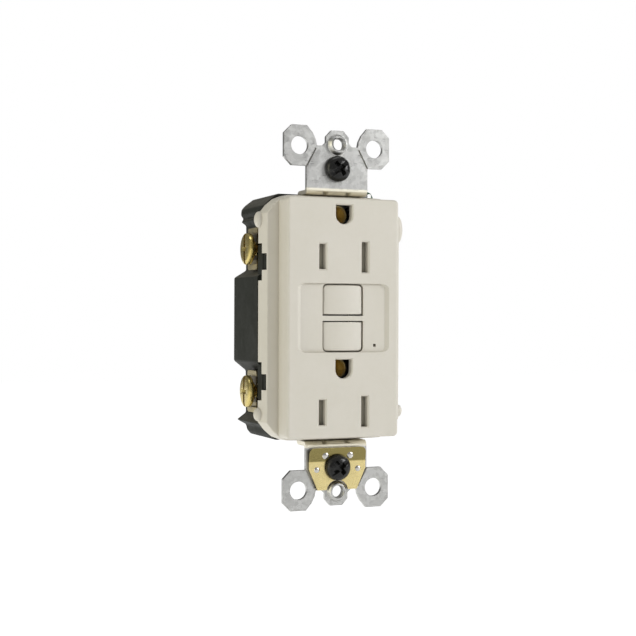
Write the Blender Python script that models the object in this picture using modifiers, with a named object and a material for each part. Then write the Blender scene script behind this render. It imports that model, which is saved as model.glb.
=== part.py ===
# Duplex outlet with ground fault protection, built as a bench assembly of separate pieces.
# Frame: +X to the right seen from the front, +Y into the wall, +Z up.
# Origin: middle of the strap's rear seating plane. All sizes below are in millimetres.

import math

import bmesh
import bpy
from mathutils import Matrix, Vector

MM = 0.001
GAP = 0.3

# Front to back
FACE_FRONT = -6.4
FACE_INSIDE = -4.2
PANEL_FLOOR = -5.6
SHOULDER_FRONT = 0.7
SHOULDER_INSIDE = 2.3
FLANGE_BACK = 4.6
STRAP_THICKNESS = 1.2
BAND_MIDDLE = 5.5
SEPARATOR_FRONT = 6.6
SEPARATOR_BACK = 8.4
BOARD_FRONT = 18.6
BOARD_BACK = 20.2
HOUSING_FRONT = 4.9
HOUSING_FLOOR = 23.8
HOUSING_BACK = 25.6

# Face and flange, half sizes
FACE_HALF_WIDTH = 16.65
FACE_HALF_HEIGHT = 33.2
FLANGE_HALF_WIDTH = 21.4
SHOULDER_HALF_WIDTH = 20.0
FLANGE_HALF_HEIGHT = 34.1

# Outlets: heights of the blade slots and of the ground holes
BLADE_X = 6.35
UPPER_BLADES_Z = 16.9
LOWER_BLADES_Z = -26.0
UPPER_GROUND_Z = 28.6
LOWER_GROUND_Z = -14.1
SLOT_WIDTH = 1.9
HOT_SLOT_HEIGHT = 7.0
NEUTRAL_SLOT_HEIGHT = 8.5

# Buttons
BUTTON_HALF_WIDTH = 5.8
TEST_Z = (1.0, 9.1)
RESET_Z = (-9.1, -1.1)
TEST_STEM_Z = 5.0
RESET_PIN_Z = -5.0

# Terminals
TERMINAL_Y = 12.6
LOAD_Z = 19.45
LINE_Z = -20.8
HEAD_RADIUS = 4.5

# Strap
MOUNTING_SCREW_Z = 41.67
TAPPED_HOLE_Z = 48.42
EAR_HOLE_X = 11.3
EAR_HOLE_Z = 47.8
CASE_SCREWS = {
    "upper_left": (-6.0, 29.8),
    "upper_right": (6.0, 29.8),
    "lower_left": (-13.2, -30.2),
    "lower_right": (13.2, -30.2),
}

# Works
LAMP_X = 9.6
LAMP_Z = -7.6
PLUNGER_Y = 14.0
GROUND_SCREW = (9.6, 32.7)

# How a flat outline, drawn in local X and Y and extruded along local Z, lies along each world axis
TURNS = {
    "X": Matrix(((0, 0, 1, 0), (1, 0, 0, 0), (0, 1, 0, 0), (0, 0, 0, 1))),
    "Y": Matrix(((1, 0, 0, 0), (0, 0, -1, 0), (0, 1, 0, 0), (0, 0, 0, 1))),
    "Z": Matrix.Identity(4),
}

# Rotations that carry a turned piece's own +Z to a world direction
TOWARDS = {
    "+X": (0, math.pi / 2, 0),
    "-X": (0, -math.pi / 2, 0),
    "+Y": (-math.pi / 2, 0, 0),
    "+Z": (0, 0, 0),
}


def clear_scene():
    for item in list(bpy.data.objects):
        bpy.data.objects.remove(item, do_unlink=True)


def new_collection(name):
    collection = bpy.data.collections.new(name)
    bpy.context.scene.collection.children.link(collection)
    return collection


def finish(name, colour, roughness, metallic=0.0):
    material = bpy.data.materials.new(name)
    material.use_nodes = True
    shader = material.node_tree.nodes["Principled BSDF"]
    shader.inputs["Base Color"].default_value = (*colour, 1.0)
    shader.inputs["Roughness"].default_value = roughness
    shader.inputs["Metallic"].default_value = metallic
    material.diffuse_color = (*colour, 1.0)
    return material


# Objects and modifiers

def add_part(name, mesh, material):
    part = bpy.data.objects.new(name, mesh)
    mesh.materials.clear()
    mesh.materials.append(material)
    parts.objects.link(part)
    return part


def add_cutter(name, mesh):
    cutter = bpy.data.objects.new(name, mesh)
    cutter.hide_render = True
    cutter.display_type = "WIRE"
    cutters.objects.link(cutter)
    return cutter


def boolean(target, tool, operation="DIFFERENCE"):
    step = target.modifiers.new(tool.name, "BOOLEAN")
    step.operation = operation
    step.object = tool
    step.solver = "EXACT"


def cut(target, mesh):
    boolean(target, add_cutter(target.name + "_cut", mesh))


def join(target, mesh):
    boolean(target, add_cutter(target.name + "_join", mesh), "UNION")


def place(part, location, towards="+Z"):
    part.location = Vector(location) * MM
    part.rotation_euler = TOWARDS[towards]
    return part


def set_origin(part, location):
    point = Vector(location) * MM
    part.data.transform(Matrix.Translation(-point))
    part.location = point


def evaluated_mesh(item):
    graph = bpy.context.evaluated_depsgraph_get()
    graph.update()
    mesh = bpy.data.meshes.new_from_object(item.evaluated_get(graph), depsgraph=graph)
    mesh.transform(item.matrix_world)
    return mesh


def baked(item, tools=()):
    mesh = evaluated_mesh(item)
    for used in (item, *tools):
        bpy.data.objects.remove(used, do_unlink=True)
    return mesh


def cleaned(mesh, smooth=True):
    shape = bmesh.new()
    shape.from_mesh(mesh)
    bmesh.ops.remove_doubles(shape, verts=shape.verts, dist=1e-6)
    bmesh.ops.recalc_face_normals(shape, faces=shape.faces)
    shape.to_mesh(mesh)
    shape.free()
    if smooth:
        mesh.shade_smooth()
        mesh.set_sharp_from_angle(angle=math.radians(30))
    return mesh


# Shapes

def box(low, high):
    low = Vector(low) * MM
    high = Vector(high) * MM
    matrix = Matrix.Translation((low + high) / 2) @ Matrix.Diagonal((*(high - low), 1))
    mesh = bpy.data.meshes.new("box")
    shape = bmesh.new()
    bmesh.ops.create_cube(shape, size=1.0, matrix=matrix)
    shape.to_mesh(mesh)
    shape.free()
    return mesh


def rod(radius, start, end, centre, axis, sides=24):
    # A round bar along a world axis, from start to end; centre gives its two other coordinates in order
    mesh = bpy.data.meshes.new("rod")
    shape = bmesh.new()
    middle = Matrix.Translation((centre[0] * MM, centre[1] * MM, (start + end) / 2 * MM))
    bmesh.ops.create_cone(
        shape, cap_ends=True, segments=sides, radius1=radius * MM, radius2=radius * MM,
        depth=(end - start) * MM, matrix=middle,
    )
    shape.to_mesh(mesh)
    shape.free()
    if axis == "X":
        mesh.transform(TURNS["X"])
    if axis == "Y":
        mesh.transform(Matrix(((1, 0, 0, 0), (0, 0, 1, 0), (0, 1, 0, 0), (0, 0, 0, 1))))
        mesh.flip_normals()
    return mesh


def arc(centre, radius, start, end, steps):
    points = []
    for step in range(steps + 1):
        angle = math.radians(start + (end - start) * step / steps)
        points.append((centre[0] + radius * math.cos(angle), centre[1] + radius * math.sin(angle)))
    return points


def circle(centre, radius, steps=20):
    return arc(centre, radius, 0, 360, steps)[:-1]


def rectangle(low, high):
    return [(low[0], low[1]), (high[0], low[1]), (high[0], high[1]), (low[0], high[1])]


def rounded_rectangle(low, high, radius, steps=4):
    points = arc((high[0] - radius, high[1] - radius), radius, 0, 90, steps)
    points += arc((low[0] + radius, high[1] - radius), radius, 90, 180, steps)
    points += arc((low[0] + radius, low[1] + radius), radius, 180, 270, steps)
    points += arc((high[0] - radius, low[1] + radius), radius, 270, 360, steps)
    return points


def mirrored_outline(right_side):
    # Points down the right side, from the top middle to the bottom middle, and their mirror
    return right_side + [(-x, z) for x, z in reversed(right_side)]


def four_way_outline(corner):
    # Points of the upper right corner, from top to side, mirrored into all four corners
    lower = [(x, -z) for x, z in reversed(corner)]
    return mirrored_outline(corner + lower)


def prism(loops, low, high, axis="Y"):
    # A flat outline, with any further loops as holes, extruded between two places on a world axis
    curve = bpy.data.curves.new("outline", "CURVE")
    curve.dimensions = "2D"
    curve.fill_mode = "BOTH"
    curve.extrude = (high - low) / 2 * MM
    for loop in loops:
        spline = curve.splines.new("POLY")
        spline.points.add(len(loop) - 1)
        for point, (first, second) in zip(spline.points, loop):
            point.co = (first * MM, second * MM, 0, 1)
        spline.use_cyclic_u = True
    item = bpy.data.objects.new("outline", curve)
    cutters.objects.link(item)
    mesh = baked(item)
    middle = (low + high) / 2 * MM
    shift = {"X": (middle, 0, 0), "Y": (0, middle, 0), "Z": (0, 0, middle)}[axis]
    mesh.transform(Matrix.Translation(shift) @ TURNS[axis])
    return cleaned(mesh)


def rounded_front(mesh, front, width):
    # Rounds the edges that lie in the plane of the front
    shape = bmesh.new()
    shape.from_mesh(mesh)
    edges = []
    for edge in shape.edges:
        on_front = all(abs(vert.co.y - front * MM) < 1e-6 for vert in edge.verts)
        if on_front and edge.calc_face_angle(0) > math.radians(60):
            edges.append(edge)
    bmesh.ops.bevel(shape, geom=edges, offset=width * MM, segments=2, affect="EDGES", profile=0.5)
    shape.to_mesh(mesh)
    shape.free()
    return mesh


def turned(name, profile, steps=24, closed=False):
    # A turned shape about its own Z; the profile runs down its outer side
    mesh = bpy.data.meshes.new(name)
    shape = bmesh.new()
    points = [shape.verts.new((radius * MM, 0, height * MM)) for radius, height in profile]
    for first, second in zip(points, points[1:]):
        shape.edges.new((first, second))
    if closed:
        shape.edges.new((points[-1], points[0]))
    shape.to_mesh(mesh)
    shape.free()
    item = bpy.data.objects.new(name, mesh)
    cutters.objects.link(item)
    screw = item.modifiers.new("Turn", "SCREW")
    screw.steps = steps
    screw.render_steps = steps
    screw.use_merge_vertices = True
    screw.merge_threshold = 1e-6
    return cleaned(baked(item))


def coil(length, radius, wire, turns):
    # A compression spring along its own Z, from 0 to its length
    steps_a_turn = 7
    curve = bpy.data.curves.new("coil", "CURVE")
    curve.dimensions = "3D"
    curve.bevel_depth = wire / 2 * MM
    curve.bevel_resolution = 1
    curve.use_fill_caps = True
    spline = curve.splines.new("POLY")
    count = int(turns * steps_a_turn) + 1
    spline.points.add(count - 1)
    for index, point in enumerate(spline.points):
        angle = 2 * math.pi * index / steps_a_turn
        height = wire / 2 + (length - wire) * index / (count - 1)
        point.co = (radius * math.cos(angle) * MM, radius * math.sin(angle) * MM, height * MM, 1)
    item = bpy.data.objects.new("coil", curve)
    cutters.objects.link(item)
    return cleaned(baked(item))


def filleted(points, radius, steps=4):
    # Rounds each inner corner of an open path
    path = [points[0]]
    for before, corner, after in zip(points, points[1:], points[2:]):
        back = (Vector(before) - Vector(corner)).normalized()
        ahead = (Vector(after) - Vector(corner)).normalized()
        half_angle = back.angle(ahead) / 2
        reach = radius / math.tan(half_angle)
        centre = Vector(corner) + (back + ahead).normalized() * radius / math.sin(half_angle)
        start = Vector(corner) + back * reach - centre
        end = Vector(corner) + ahead * reach - centre
        sweep = start.angle_signed(end)
        for step in range(steps + 1):
            turned_point = start.copy()
            turned_point.rotate(Matrix.Rotation(-sweep * step / steps, 2))
            path.append(tuple(centre + turned_point))
    path.append(points[-1])
    return path


def bent_sheet(path, half_width, thickness):
    # A sheet that follows a path in Y and Z, as wide as it is told along X
    mesh = bpy.data.meshes.new("sheet")
    shape = bmesh.new()
    verts = [shape.verts.new((-half_width * MM, y * MM, z * MM)) for y, z in path]
    edges = [shape.edges.new(pair) for pair in zip(verts, verts[1:])]
    made = bmesh.ops.extrude_edge_only(shape, edges=edges)["geom"]
    moved = [item for item in made if isinstance(item, bmesh.types.BMVert)]
    bmesh.ops.translate(shape, verts=moved, vec=(2 * half_width * MM, 0, 0))
    shape.to_mesh(mesh)
    shape.free()
    item = bpy.data.objects.new("sheet", mesh)
    cutters.objects.link(item)
    wall = item.modifiers.new("Wall", "SOLIDIFY")
    wall.thickness = thickness * MM
    wall.offset = 0.0
    wall.use_even_offset = True
    return cleaned(baked(item), smooth=False)


# Cover and housing

def flange_outline():
    return four_way_outline([(12.5, FLANGE_HALF_HEIGHT), (15.0, 34.0), (17.5, 33.0), (19.6, 31.2),
                             (FLANGE_HALF_WIDTH, 28.9)])


def flange_mesh():
    mesh = prism([flange_outline()], SHOULDER_FRONT, FLANGE_BACK)
    for vert in mesh.vertices:
        if vert.co.y < (SHOULDER_FRONT + 0.1) * MM:
            vert.co.x *= SHOULDER_HALF_WIDTH / FLANGE_HALF_WIDTH
    return mesh


def ground_hole(centre_z, radius=2.4):
    # A round hole with a flat top
    top = centre_z + 2.65
    middle = centre_z - 0.25
    return [(radius, top), (-radius, top)] + arc((0, middle), radius, 180, 360, 12)


def panel_recess_mesh():
    # The shallow recess round the buttons, with sloping left and right sides
    floor = 12.0
    edge = 13.6
    over = (edge - floor) * 1.5
    outline = [(-floor, PANEL_FLOOR), (floor, PANEL_FLOOR), (floor + over, FACE_FRONT - 0.4),
               (-floor - over, FACE_FRONT - 0.4)]
    return prism([outline], -9.55, 9.55, "Z")


def build_front_cover():
    face = rounded_rectangle((-FACE_HALF_WIDTH, -FACE_HALF_HEIGHT), (FACE_HALF_WIDTH, FACE_HALF_HEIGHT), 1.3)
    cover = add_part("front_cover", rounded_front(prism([face], FACE_FRONT, 1.2), FACE_FRONT, 0.8), almond)
    join(cover, flange_mesh())
    for side in (-1, 1):
        for height in (-26.7, 26.7):
            join(cover, rod(1.7, 2.9, FLANGE_BACK - 0.1, (side * 20.8, height), "Y", 12))
    cut(cover, box((-14.9, FACE_INSIDE, -31.9), (14.9, FLANGE_BACK + 1, 31.9)))
    inner = four_way_outline([(12.0, 32.6), (14.6, 32.5), (16.6, 31.4), (18.2, 28.6)])
    cut(cover, prism([inner], SHOULDER_INSIDE, FLANGE_BACK + 1))
    cut(cover, panel_recess_mesh())
    for low, high in ((0.6, 9.45), (-9.45, -0.8)):
        opening = rounded_rectangle((-6.1, low), (6.1, high), 0.6, 3)
        cut(cover, prism([opening], FACE_FRONT - 1, FACE_INSIDE + 1))
    for height in (UPPER_BLADES_Z, LOWER_BLADES_Z):
        for middle, tall in ((-BLADE_X, HOT_SLOT_HEIGHT), (BLADE_X, NEUTRAL_SLOT_HEIGHT)):
            cut(cover, box((middle - SLOT_WIDTH / 2, FACE_FRONT - 1, height - tall / 2),
                           (middle + SLOT_WIDTH / 2, FACE_INSIDE + 1, height + tall / 2)))
    for height in (UPPER_GROUND_Z, LOWER_GROUND_Z):
        cut(cover, prism([ground_hole(height)], FACE_FRONT - 1, FACE_INSIDE + 1))
    cut(cover, box((LAMP_X - 0.4, FACE_FRONT - 1, LAMP_Z - 0.4),
                   (LAMP_X + 0.4, FACE_INSIDE + 1, LAMP_Z + 0.4)))
    for side in (-1, 1):
        for low, high in ((10.3, 20.6), (-22.9, -12.3)):
            cut(cover, side_box(side, (17.0, 2.9, low), (23.0, FLANGE_BACK + 1, high)))
        for low, high in ((13.2, 17.8), (-20.0, -15.6)):
            cut(cover, side_box(side, (18.4, 1.0, low), (23.0, 3.2, high)))
    for x, z in CASE_SCREWS.values():
        join(cover, rod(2.3, FACE_INSIDE - 0.8, FLANGE_BACK - 0.2, (x, z), "Y", 16))
        cut(cover, rod(1.5, -3.0, FLANGE_BACK + 1, (x, z), "Y", 16))
    return cover


def side_box(side, low, high):
    # A box given for the right side, or its mirror on the left
    if side > 0:
        return box(low, high)
    return box((-high[0], low[1], low[2]), (-low[0], high[1], high[2]))


def housing_outline():
    return mirrored_outline([
        (15.6, 34.7), (18.2, 32.7), (19.25, 31.5), (19.4, 29.9), (18.6, 28.8), (19.25, 27.9), (17.8, 26.9),
        (17.8, 13.8), (21.4, 11.6), (21.4, -12.5), (17.8, -15.4), (17.7, -27.7), (20.4, -29.7),
        (17.7, -31.2), (17.2, -32.9), (16.1, -34.1),
    ])


def housing_hollow():
    return mirrored_outline([
        (14.6, 32.9), (16.8, 31.0), (16.0, 28.0), (16.0, 13.0), (19.4, 10.9), (19.4, -11.8), (15.9, -14.6),
        (15.9, -30.6), (14.9, -32.3),
    ])


def ground_pocket(grow=0.0):
    return box((10.4 - grow, HOUSING_FRONT - 3, 28.6 - grow), (22.0, 16.0 + grow, 37.0))


def build_rear_housing():
    housing = add_part("rear_housing", prism([housing_outline()], HOUSING_FRONT, HOUSING_BACK), charcoal)
    for side in (-1, 1):
        for low, high in ((10.6, 20.3), (-22.6, -12.6)):
            join(housing, side_box(side, (17.45, 3.2, low), (20.5, 7.2, high)))
        for low, high in ((13.5, 17.5), (-19.7, -15.9)):
            join(housing, side_box(side, (18.8, 1.3, low), (20.2, 3.4, high)))
    cut(housing, ground_pocket())
    hollow = add_cutter("housing_hollow", prism([housing_hollow()], HOUSING_FRONT - 1, HOUSING_FLOOR))
    boolean(hollow, add_cutter("pocket_wall", ground_pocket(0.9)))
    boolean(housing, hollow)
    for side in (-1, 1):
        for height in (LOAD_Z, LINE_Z):
            cut(housing, side_box(side, (15.0, 8.3, height - 2.8), (18.6, 9.8, height + 2.8)))
            cut(housing, rod(2.2, side * 16.9 - 2.5, side * 16.9 + 2.5, (TERMINAL_Y, height), "X", 16))
    for end in (-1, 1):
        low, high = sorted((end * 32.0, end * 36.0))
        cut(housing, box((-9.6, HOUSING_FRONT - 1, low), (9.6, 6.4, high)))
    cut(housing, box((4.6, HOUSING_FRONT - 1, 34.1), (10.9, 14.0, 36.0)))
    for x, z in CASE_SCREWS.values():
        cut(housing, rod(1.5, HOUSING_FLOOR - 1, HOUSING_BACK + 1, (x, z), "Y", 16))
        cut(housing, rod(2.7, HOUSING_BACK - 1.0, HOUSING_BACK + 1, (x, z), "Y", 20))
    return housing


def build_separator():
    outline = [(-14.0, -32.0), (14.0, -32.0), (15.2, -30.4), (15.2, 26.8), (8.1, 26.8), (8.1, 32.2),
               (-14.0, 32.2), (-15.2, 31.0), (-15.2, -30.4)]
    loops = [outline]
    for height in (UPPER_BLADES_Z, LOWER_BLADES_Z):
        loops.append(rectangle((-9.0, height - 3.8), (9.0, height + 3.8)))
    for height in (UPPER_GROUND_Z, LOWER_GROUND_Z):
        loops.append(circle((0, height), 2.8, 16))
    loops.append(circle((0, TEST_STEM_Z), 1.5, 12))
    loops.append(circle((0, RESET_PIN_Z), 1.4, 12))
    loops.append(circle((LAMP_X, LAMP_Z), 1.2, 12))
    for x, z in CASE_SCREWS.values():
        loops.append(circle((x, z), 1.5, 12))
    return add_part("separator", prism(loops, SEPARATOR_FRONT, SEPARATOR_BACK), dark_plastic)


def build_case_screws():
    profile = [(0, 0), (2.3, 0), (2.3, -0.7), (1.1, -1.0), (1.1, -26.0), (0, -26.8)]
    mesh = turned("case_screw", profile, 16)
    for name, (x, z) in CASE_SCREWS.items():
        screw = add_part("case_screw_" + name, mesh.copy(), steel)
        place(screw, (x, HOUSING_BACK + 0.02, z), "+Y")


# Strap

def strap_outline():
    # Centre tab, plate shoulder, break-off ear and plate edge, then the band that runs through the case
    end = [(1.8, 52.4), (3.4, 50.6), (3.4, 48.9), (4.4, 48.0), (6.2, 48.0), (6.5, 49.6), (7.4, 51.4),
           (9.1, 53.4), (13.6, 53.4), (15.9, 51.1), (15.9, 44.5), (13.6, 42.2), (9.2, 42.2)]
    upper_band = [(9.2, 27.2), (12.6, 26.0)]
    lower_band = [(12.6, -26.5), (11.2, -27.5), (11.2, -30.7), (9.2, -31.7)]
    lower_end = [(x, -z) for x, z in reversed(end)]
    return mirrored_outline(end + upper_band + lower_band + lower_end)


def ear_slit(side, end):
    # The groove that lets an ear break off
    start = Vector((side * 6.5, end * 47.2))
    finish_point = Vector((side * 9.2, end * 42.1))
    along = (finish_point - start).normalized() * 0.1
    across = Vector((-along.y, along.x)).normalized() * 0.25
    corners = (start - along - across, finish_point + along - across, finish_point + along + across,
               start - along + across)
    return [tuple(corner) for corner in corners]


def build_strap():
    corner = 35.0
    front = -STRAP_THICKNESS / 2
    upper = filleted([(front, 56.0), (front, corner), (BAND_MIDDLE, corner), (BAND_MIDDLE, 0.0)], 0.9)
    lower = [(y, -z) for y, z in reversed(upper[:-1])]
    strap = add_part("mounting_strap", bent_sheet(upper + lower, 17.0, STRAP_THICKNESS), galvanized)
    loops = [strap_outline()]
    loops.append(rectangle((-9.4, 12.8), (9.4, 21.0)))
    loops.append(rectangle((-9.4, -30.1), (9.4, -21.9)))
    loops.append(rounded_rectangle((-6.5, -9.4), (6.5, 9.4), 1.0, 2))
    for height in (UPPER_GROUND_Z, LOWER_GROUND_Z):
        loops.append(circle((0, height), 2.9, 16))
    loops.append(circle((LAMP_X, LAMP_Z), 1.2, 12))
    for name in ("upper_left", "upper_right"):
        loops.append(circle(CASE_SCREWS[name], 1.6, 12))
    for end in (-1, 1):
        loops.append(circle((0, end * TAPPED_HOLE_Z), 1.75, 20))
        slot = arc((1.1, end * MOUNTING_SCREW_Z), 2.0, -90, 90, 8)
        slot += arc((-1.1, end * MOUNTING_SCREW_Z), 2.0, 90, 270, 8)
        loops.append(slot)
        for side in (-1, 1):
            loops.append(circle((side * EAR_HOLE_X, end * EAR_HOLE_Z), 2.55, 24))
    boolean(strap, add_cutter("strap_outline", prism(loops, -3.0, 9.0)), "INTERSECT")
    for end in (-1, 1):
        collar = turned("collar", [(2.1, 1.5), (2.75, -0.3), (1.82, -0.3), (1.82, 1.5)], 20, True)
        collar.transform(Matrix.Rotation(math.pi / 2, 4, "X"))
        collar.transform(Matrix.Translation(Vector((0, -STRAP_THICKNESS, end * TAPPED_HOLE_Z)) * MM))
        join(strap, collar)
        for side in (-1, 1):
            cut(strap, prism([ear_slit(side, end)], -STRAP_THICKNESS - 0.5, -STRAP_THICKNESS + 0.6))
            low, high = sorted((end * 33.6, end * 35.3))
            cut(strap, box((side * 3.4 - 0.75, -2.0, low), (side * 3.4 + 0.75, 0.9, high)))
    tab = box((5.0, 4.0, 34.5), (12.7, 13.4, 35.5))
    join(strap, tab)
    join(strap, box((11.5, 6.6, 29.6), (12.6, 13.3, 35.4)))
    cut(strap, rod(2.2, 11.0, 13.5, GROUND_SCREW, "X", 16))
    return strap


def build_grounding_clip():
    half = STRAP_THICKNESS + GAP
    path = [(-half - 0.25, -49.5), (-half - 0.25, -40.0), (-half - 1.0, -35.6)]
    clip = add_part("grounding_clip", bent_sheet(path, 10.0, 0.5), brass)
    tapped = (0, -TAPPED_HOLE_Z)
    notch = arc(tapped, 3.3, 171, 9, 8)
    outline = [(-8.5, -42.1), (-5.9, -47.9)] + notch + [(5.9, -47.9), (8.5, -42.1)]
    outline += arc((7.0, -37.6), 1.5, 0, 90, 4) + arc((-7.0, -37.6), 1.5, 90, 180, 4)
    loops = [outline, circle((0, -MOUNTING_SCREW_Z), 2.1, 20)]
    for side in (-1, 1):
        loops.append(circle((side * 3.7, -38.3), 0.7, 12))
        loops.append(circle((side * 6.2, -42.2), 0.5, 12))
    boolean(clip, add_cutter("clip_outline", prism(loops, -6.0, 1.0)), "INTERSECT")
    return clip


def build_mounting_screws():
    # Pan heads with a straight slot; the washer behind the strap keeps the screw from falling out
    head = [(0, 2.1), (1.9, 1.95), (3.1, 1.45), (3.65, 0.6), (3.65, 0.0)]
    shank = [(1.55, 0.0), (1.55, -14.5), (0.9, -15.6), (0, -15.6)]
    mesh = turned("mounting_screw", head + shank, 24)
    blank = bpy.data.objects.new("blank", mesh)
    cutters.objects.link(blank)
    slot = add_cutter("slot", box((-2.9, -0.5, 1.2), (2.9, 0.5, 3.0)))
    cross = add_cutter("cross", box((-0.5, -2.2, 1.2), (0.5, 2.2, 3.0)))
    boolean(blank, slot)
    boolean(blank, cross)
    mesh = baked(blank, (slot, cross))
    mesh.transform(Matrix.Rotation(math.pi, 4, "X"))
    for name, end, seat in (("upper", 1, -STRAP_THICKNESS - GAP), ("lower", -1, -STRAP_THICKNESS - 1.1)):
        screw = add_part("mounting_screw_" + name, mesh.copy(), black_steel)
        place(screw, (0, seat, end * MOUNTING_SCREW_Z), "+Y")
        washer = turned("washer", [(3.4, 0.45), (3.4, -0.45), (1.85, -0.45), (1.85, 0.45)], 20, True)
        retainer = add_part("retaining_washer_" + name, washer, fibre)
        place(retainer, (0, 0.75, end * MOUNTING_SCREW_Z), "+Y")


def build_ground_screw():
    profile = [(0, 1.5), (3.3, 1.5), (3.75, 1.1), (3.75, 0), (1.9, 0), (1.9, -2.1), (0, -2.4)]
    screw = add_part("ground_screw", turned("ground_screw", profile, 24), green_steel)
    place(screw, (13.1, *GROUND_SCREW), "+X")
    cut(screw, box((14.0, GROUND_SCREW[0] - 0.5, GROUND_SCREW[1] - 5), (15.5, GROUND_SCREW[0] + 0.5,
                                                                      GROUND_SCREW[1] + 5)))
    return screw


# Contacts and terminals

def build_contact_strip(name, side):
    # The strip behind the separator carries one clip for each outlet and one fixed contact
    strip = add_part(name, side_box(side, (4.3, 8.8, -29.0), (8.4, 9.5, 20.0)), brass)
    for height in (UPPER_BLADES_Z, LOWER_BLADES_Z):
        for near, far in ((4.7, 5.2), (7.5, 8.0)):
            join(strip, side_box(side, (near, -1.5, height - 2.9), (far, 9.1, height + 2.9)))
    join(strip, side_box(side, (8.0, 8.85, 16.5), (13.6, 9.4, 19.5)))
    join(strip, side_box(side, (8.0, 8.85, -6.0), (12.6, 9.4, -2.0)))
    join(strip, rod(1.2, 9.2, 11.7, (side * 11.0, -4.0), "Y", 12))
    return strip


def build_terminal(name, side, height, conducts):
    # The fixed plate behind a clamp, with a tab through the wall of the housing
    terminal = add_part(name, side_box(side, (18.1, 7.9, height - 5.3), (18.9, 17.3, height + 5.3)), brass)
    join(terminal, side_box(side, (14.0, 8.7, height - 2.3), (18.5, 9.4, height + 2.3)))
    cut(terminal, rod(2.0, side * 18.5 - 1.0, side * 18.5 + 1.0, (TERMINAL_Y, height), "X", 16))
    if conducts:
        join(terminal, side_box(side, (14.1, 8.8, height + 0.2), (14.9, 10.2, height + 2.2)))
        join(terminal, side_box(side, (1.3, 9.8, height + 0.7), (14.7, 10.25, height + 2.1)))
        join(terminal, side_box(side, (1.2, 9.9, height + 0.8), (2.2, 18.2, height + 2.0)))
    return terminal


def terminal_screw_mesh():
    profile = [(0, 1.8), (3.9, 1.8), (HEAD_RADIUS, 1.4), (HEAD_RADIUS, 0.0), (1.7, 0.0), (1.7, -7.9),
               (1.2, -8.3), (0, -8.3)]
    blank = bpy.data.objects.new("blank", turned("terminal_screw", profile, 24))
    cutters.objects.link(blank)
    slot = add_cutter("slot", box((-5, -0.6, 1.1), (5, 0.6, 3.0)))
    boolean(blank, slot)
    return baked(blank, (slot,))


def build_clamps_and_screws():
    screw_mesh = terminal_screw_mesh()
    for name, side, height, material in (
        ("load_hot", -1, LOAD_Z, brass), ("line_hot", -1, LINE_Z, brass),
        ("load_neutral", 1, LOAD_Z, nickel), ("line_neutral", 1, LINE_Z, nickel),
    ):
        build_terminal(name + "_terminal", side, height, height == LINE_Z)
        low = (TERMINAL_Y - 4.5, height - 5.9)
        high = (TERMINAL_Y + 4.5, height + 5.9)
        loops = [rounded_rectangle(low, high, 0.8, 2), circle((TERMINAL_Y, height), 2.1, 16)]
        near, far = sorted((side * 19.2, side * 20.5))
        clamp = add_part(name + "_clamp", prism(loops, near, far, "X"), dull_brass)
        set_origin(clamp, (side * 19.85, TERMINAL_Y, height))
        screw = add_part(name + "_screw", screw_mesh.copy(), material)
        place(screw, (side * 20.9, TERMINAL_Y, height), "+X" if side > 0 else "-X")


def build_ground_contact(name, height):
    # A split sleeve that grips the round ground pin
    opening = 25
    outline = arc((0, height), 2.85, 270 + opening, 630 - opening, 20)
    outline += arc((0, height), 2.45, 630 - opening, 270 + opening, 20)
    return add_part(name, prism([outline], -1.3, 4.4), bronze)


def build_shutter(name, height):
    # Its two windows stand beside the slots until both blades push it across
    travel = 2.2
    outline = rectangle((-10.3, height - 5.2), (8.0, height + 5.2))
    loops = [outline]
    for middle in (-BLADE_X - travel, BLADE_X - travel):
        loops.append(rectangle((middle - 1.1, height - 4.4), (middle + 1.1, height + 4.4)))
    shutter = add_part(name, prism(loops, -3.9, -2.1), grey_plastic)
    set_origin(shutter, (0, -3.0, height))
    spring = add_part(name + "_spring", coil(6.0, 0.7, 0.3, 5), spring_steel)
    place(spring, (8.4, -3.0, height), "+X")


# Buttons and reset works

def button_mesh(low, high):
    outline = rounded_rectangle((-BUTTON_HALF_WIDTH, low), (BUTTON_HALF_WIDTH, high), 0.5, 3)
    return rounded_front(prism([outline], -6.1, -1.2), -6.1, 0.4)


def build_test_button():
    button = add_part("test_button", button_mesh(*TEST_Z), almond_button)
    join(button, box((-7.0, -3.8, 1.3), (7.0, -2.7, 9.9)))
    join(button, rod(1.1, -1.6, 8.6, (0, TEST_STEM_Z), "Y", 16))
    set_origin(button, (0, -1.2, TEST_STEM_Z))
    spring = add_part("test_spring", coil(6.9, 1.75, 0.4, 4), spring_steel)
    place(spring, (0, -0.9, TEST_STEM_Z), "+Y")


def build_reset_button():
    button = add_part("reset_button", button_mesh(*RESET_Z), almond_button)
    join(button, box((-7.0, -3.8, -9.9), (7.0, -2.7, -1.4)))
    cut(button, rod(1.3, -3.3, 0.0, (0, RESET_PIN_Z), "Y", 16))
    set_origin(button, (0, -1.2, RESET_PIN_Z))
    profile = [(0, 15.6), (0.7, 15.6), (1.0, 15.2), (1.0, 12.7), (0.7, 12.7), (0.7, 11.3), (1.0, 11.3),
               (1.0, -3.0), (0, -3.0)]
    pin = add_part("reset_pin", turned("reset_pin", profile, 16), steel)
    place(pin, (0, 0, RESET_PIN_Z), "+Y")
    spring = add_part("reset_spring", coil(6.9, 1.75, 0.4, 4), spring_steel)
    place(spring, (0, -0.9, RESET_PIN_Z), "+Y")


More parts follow.
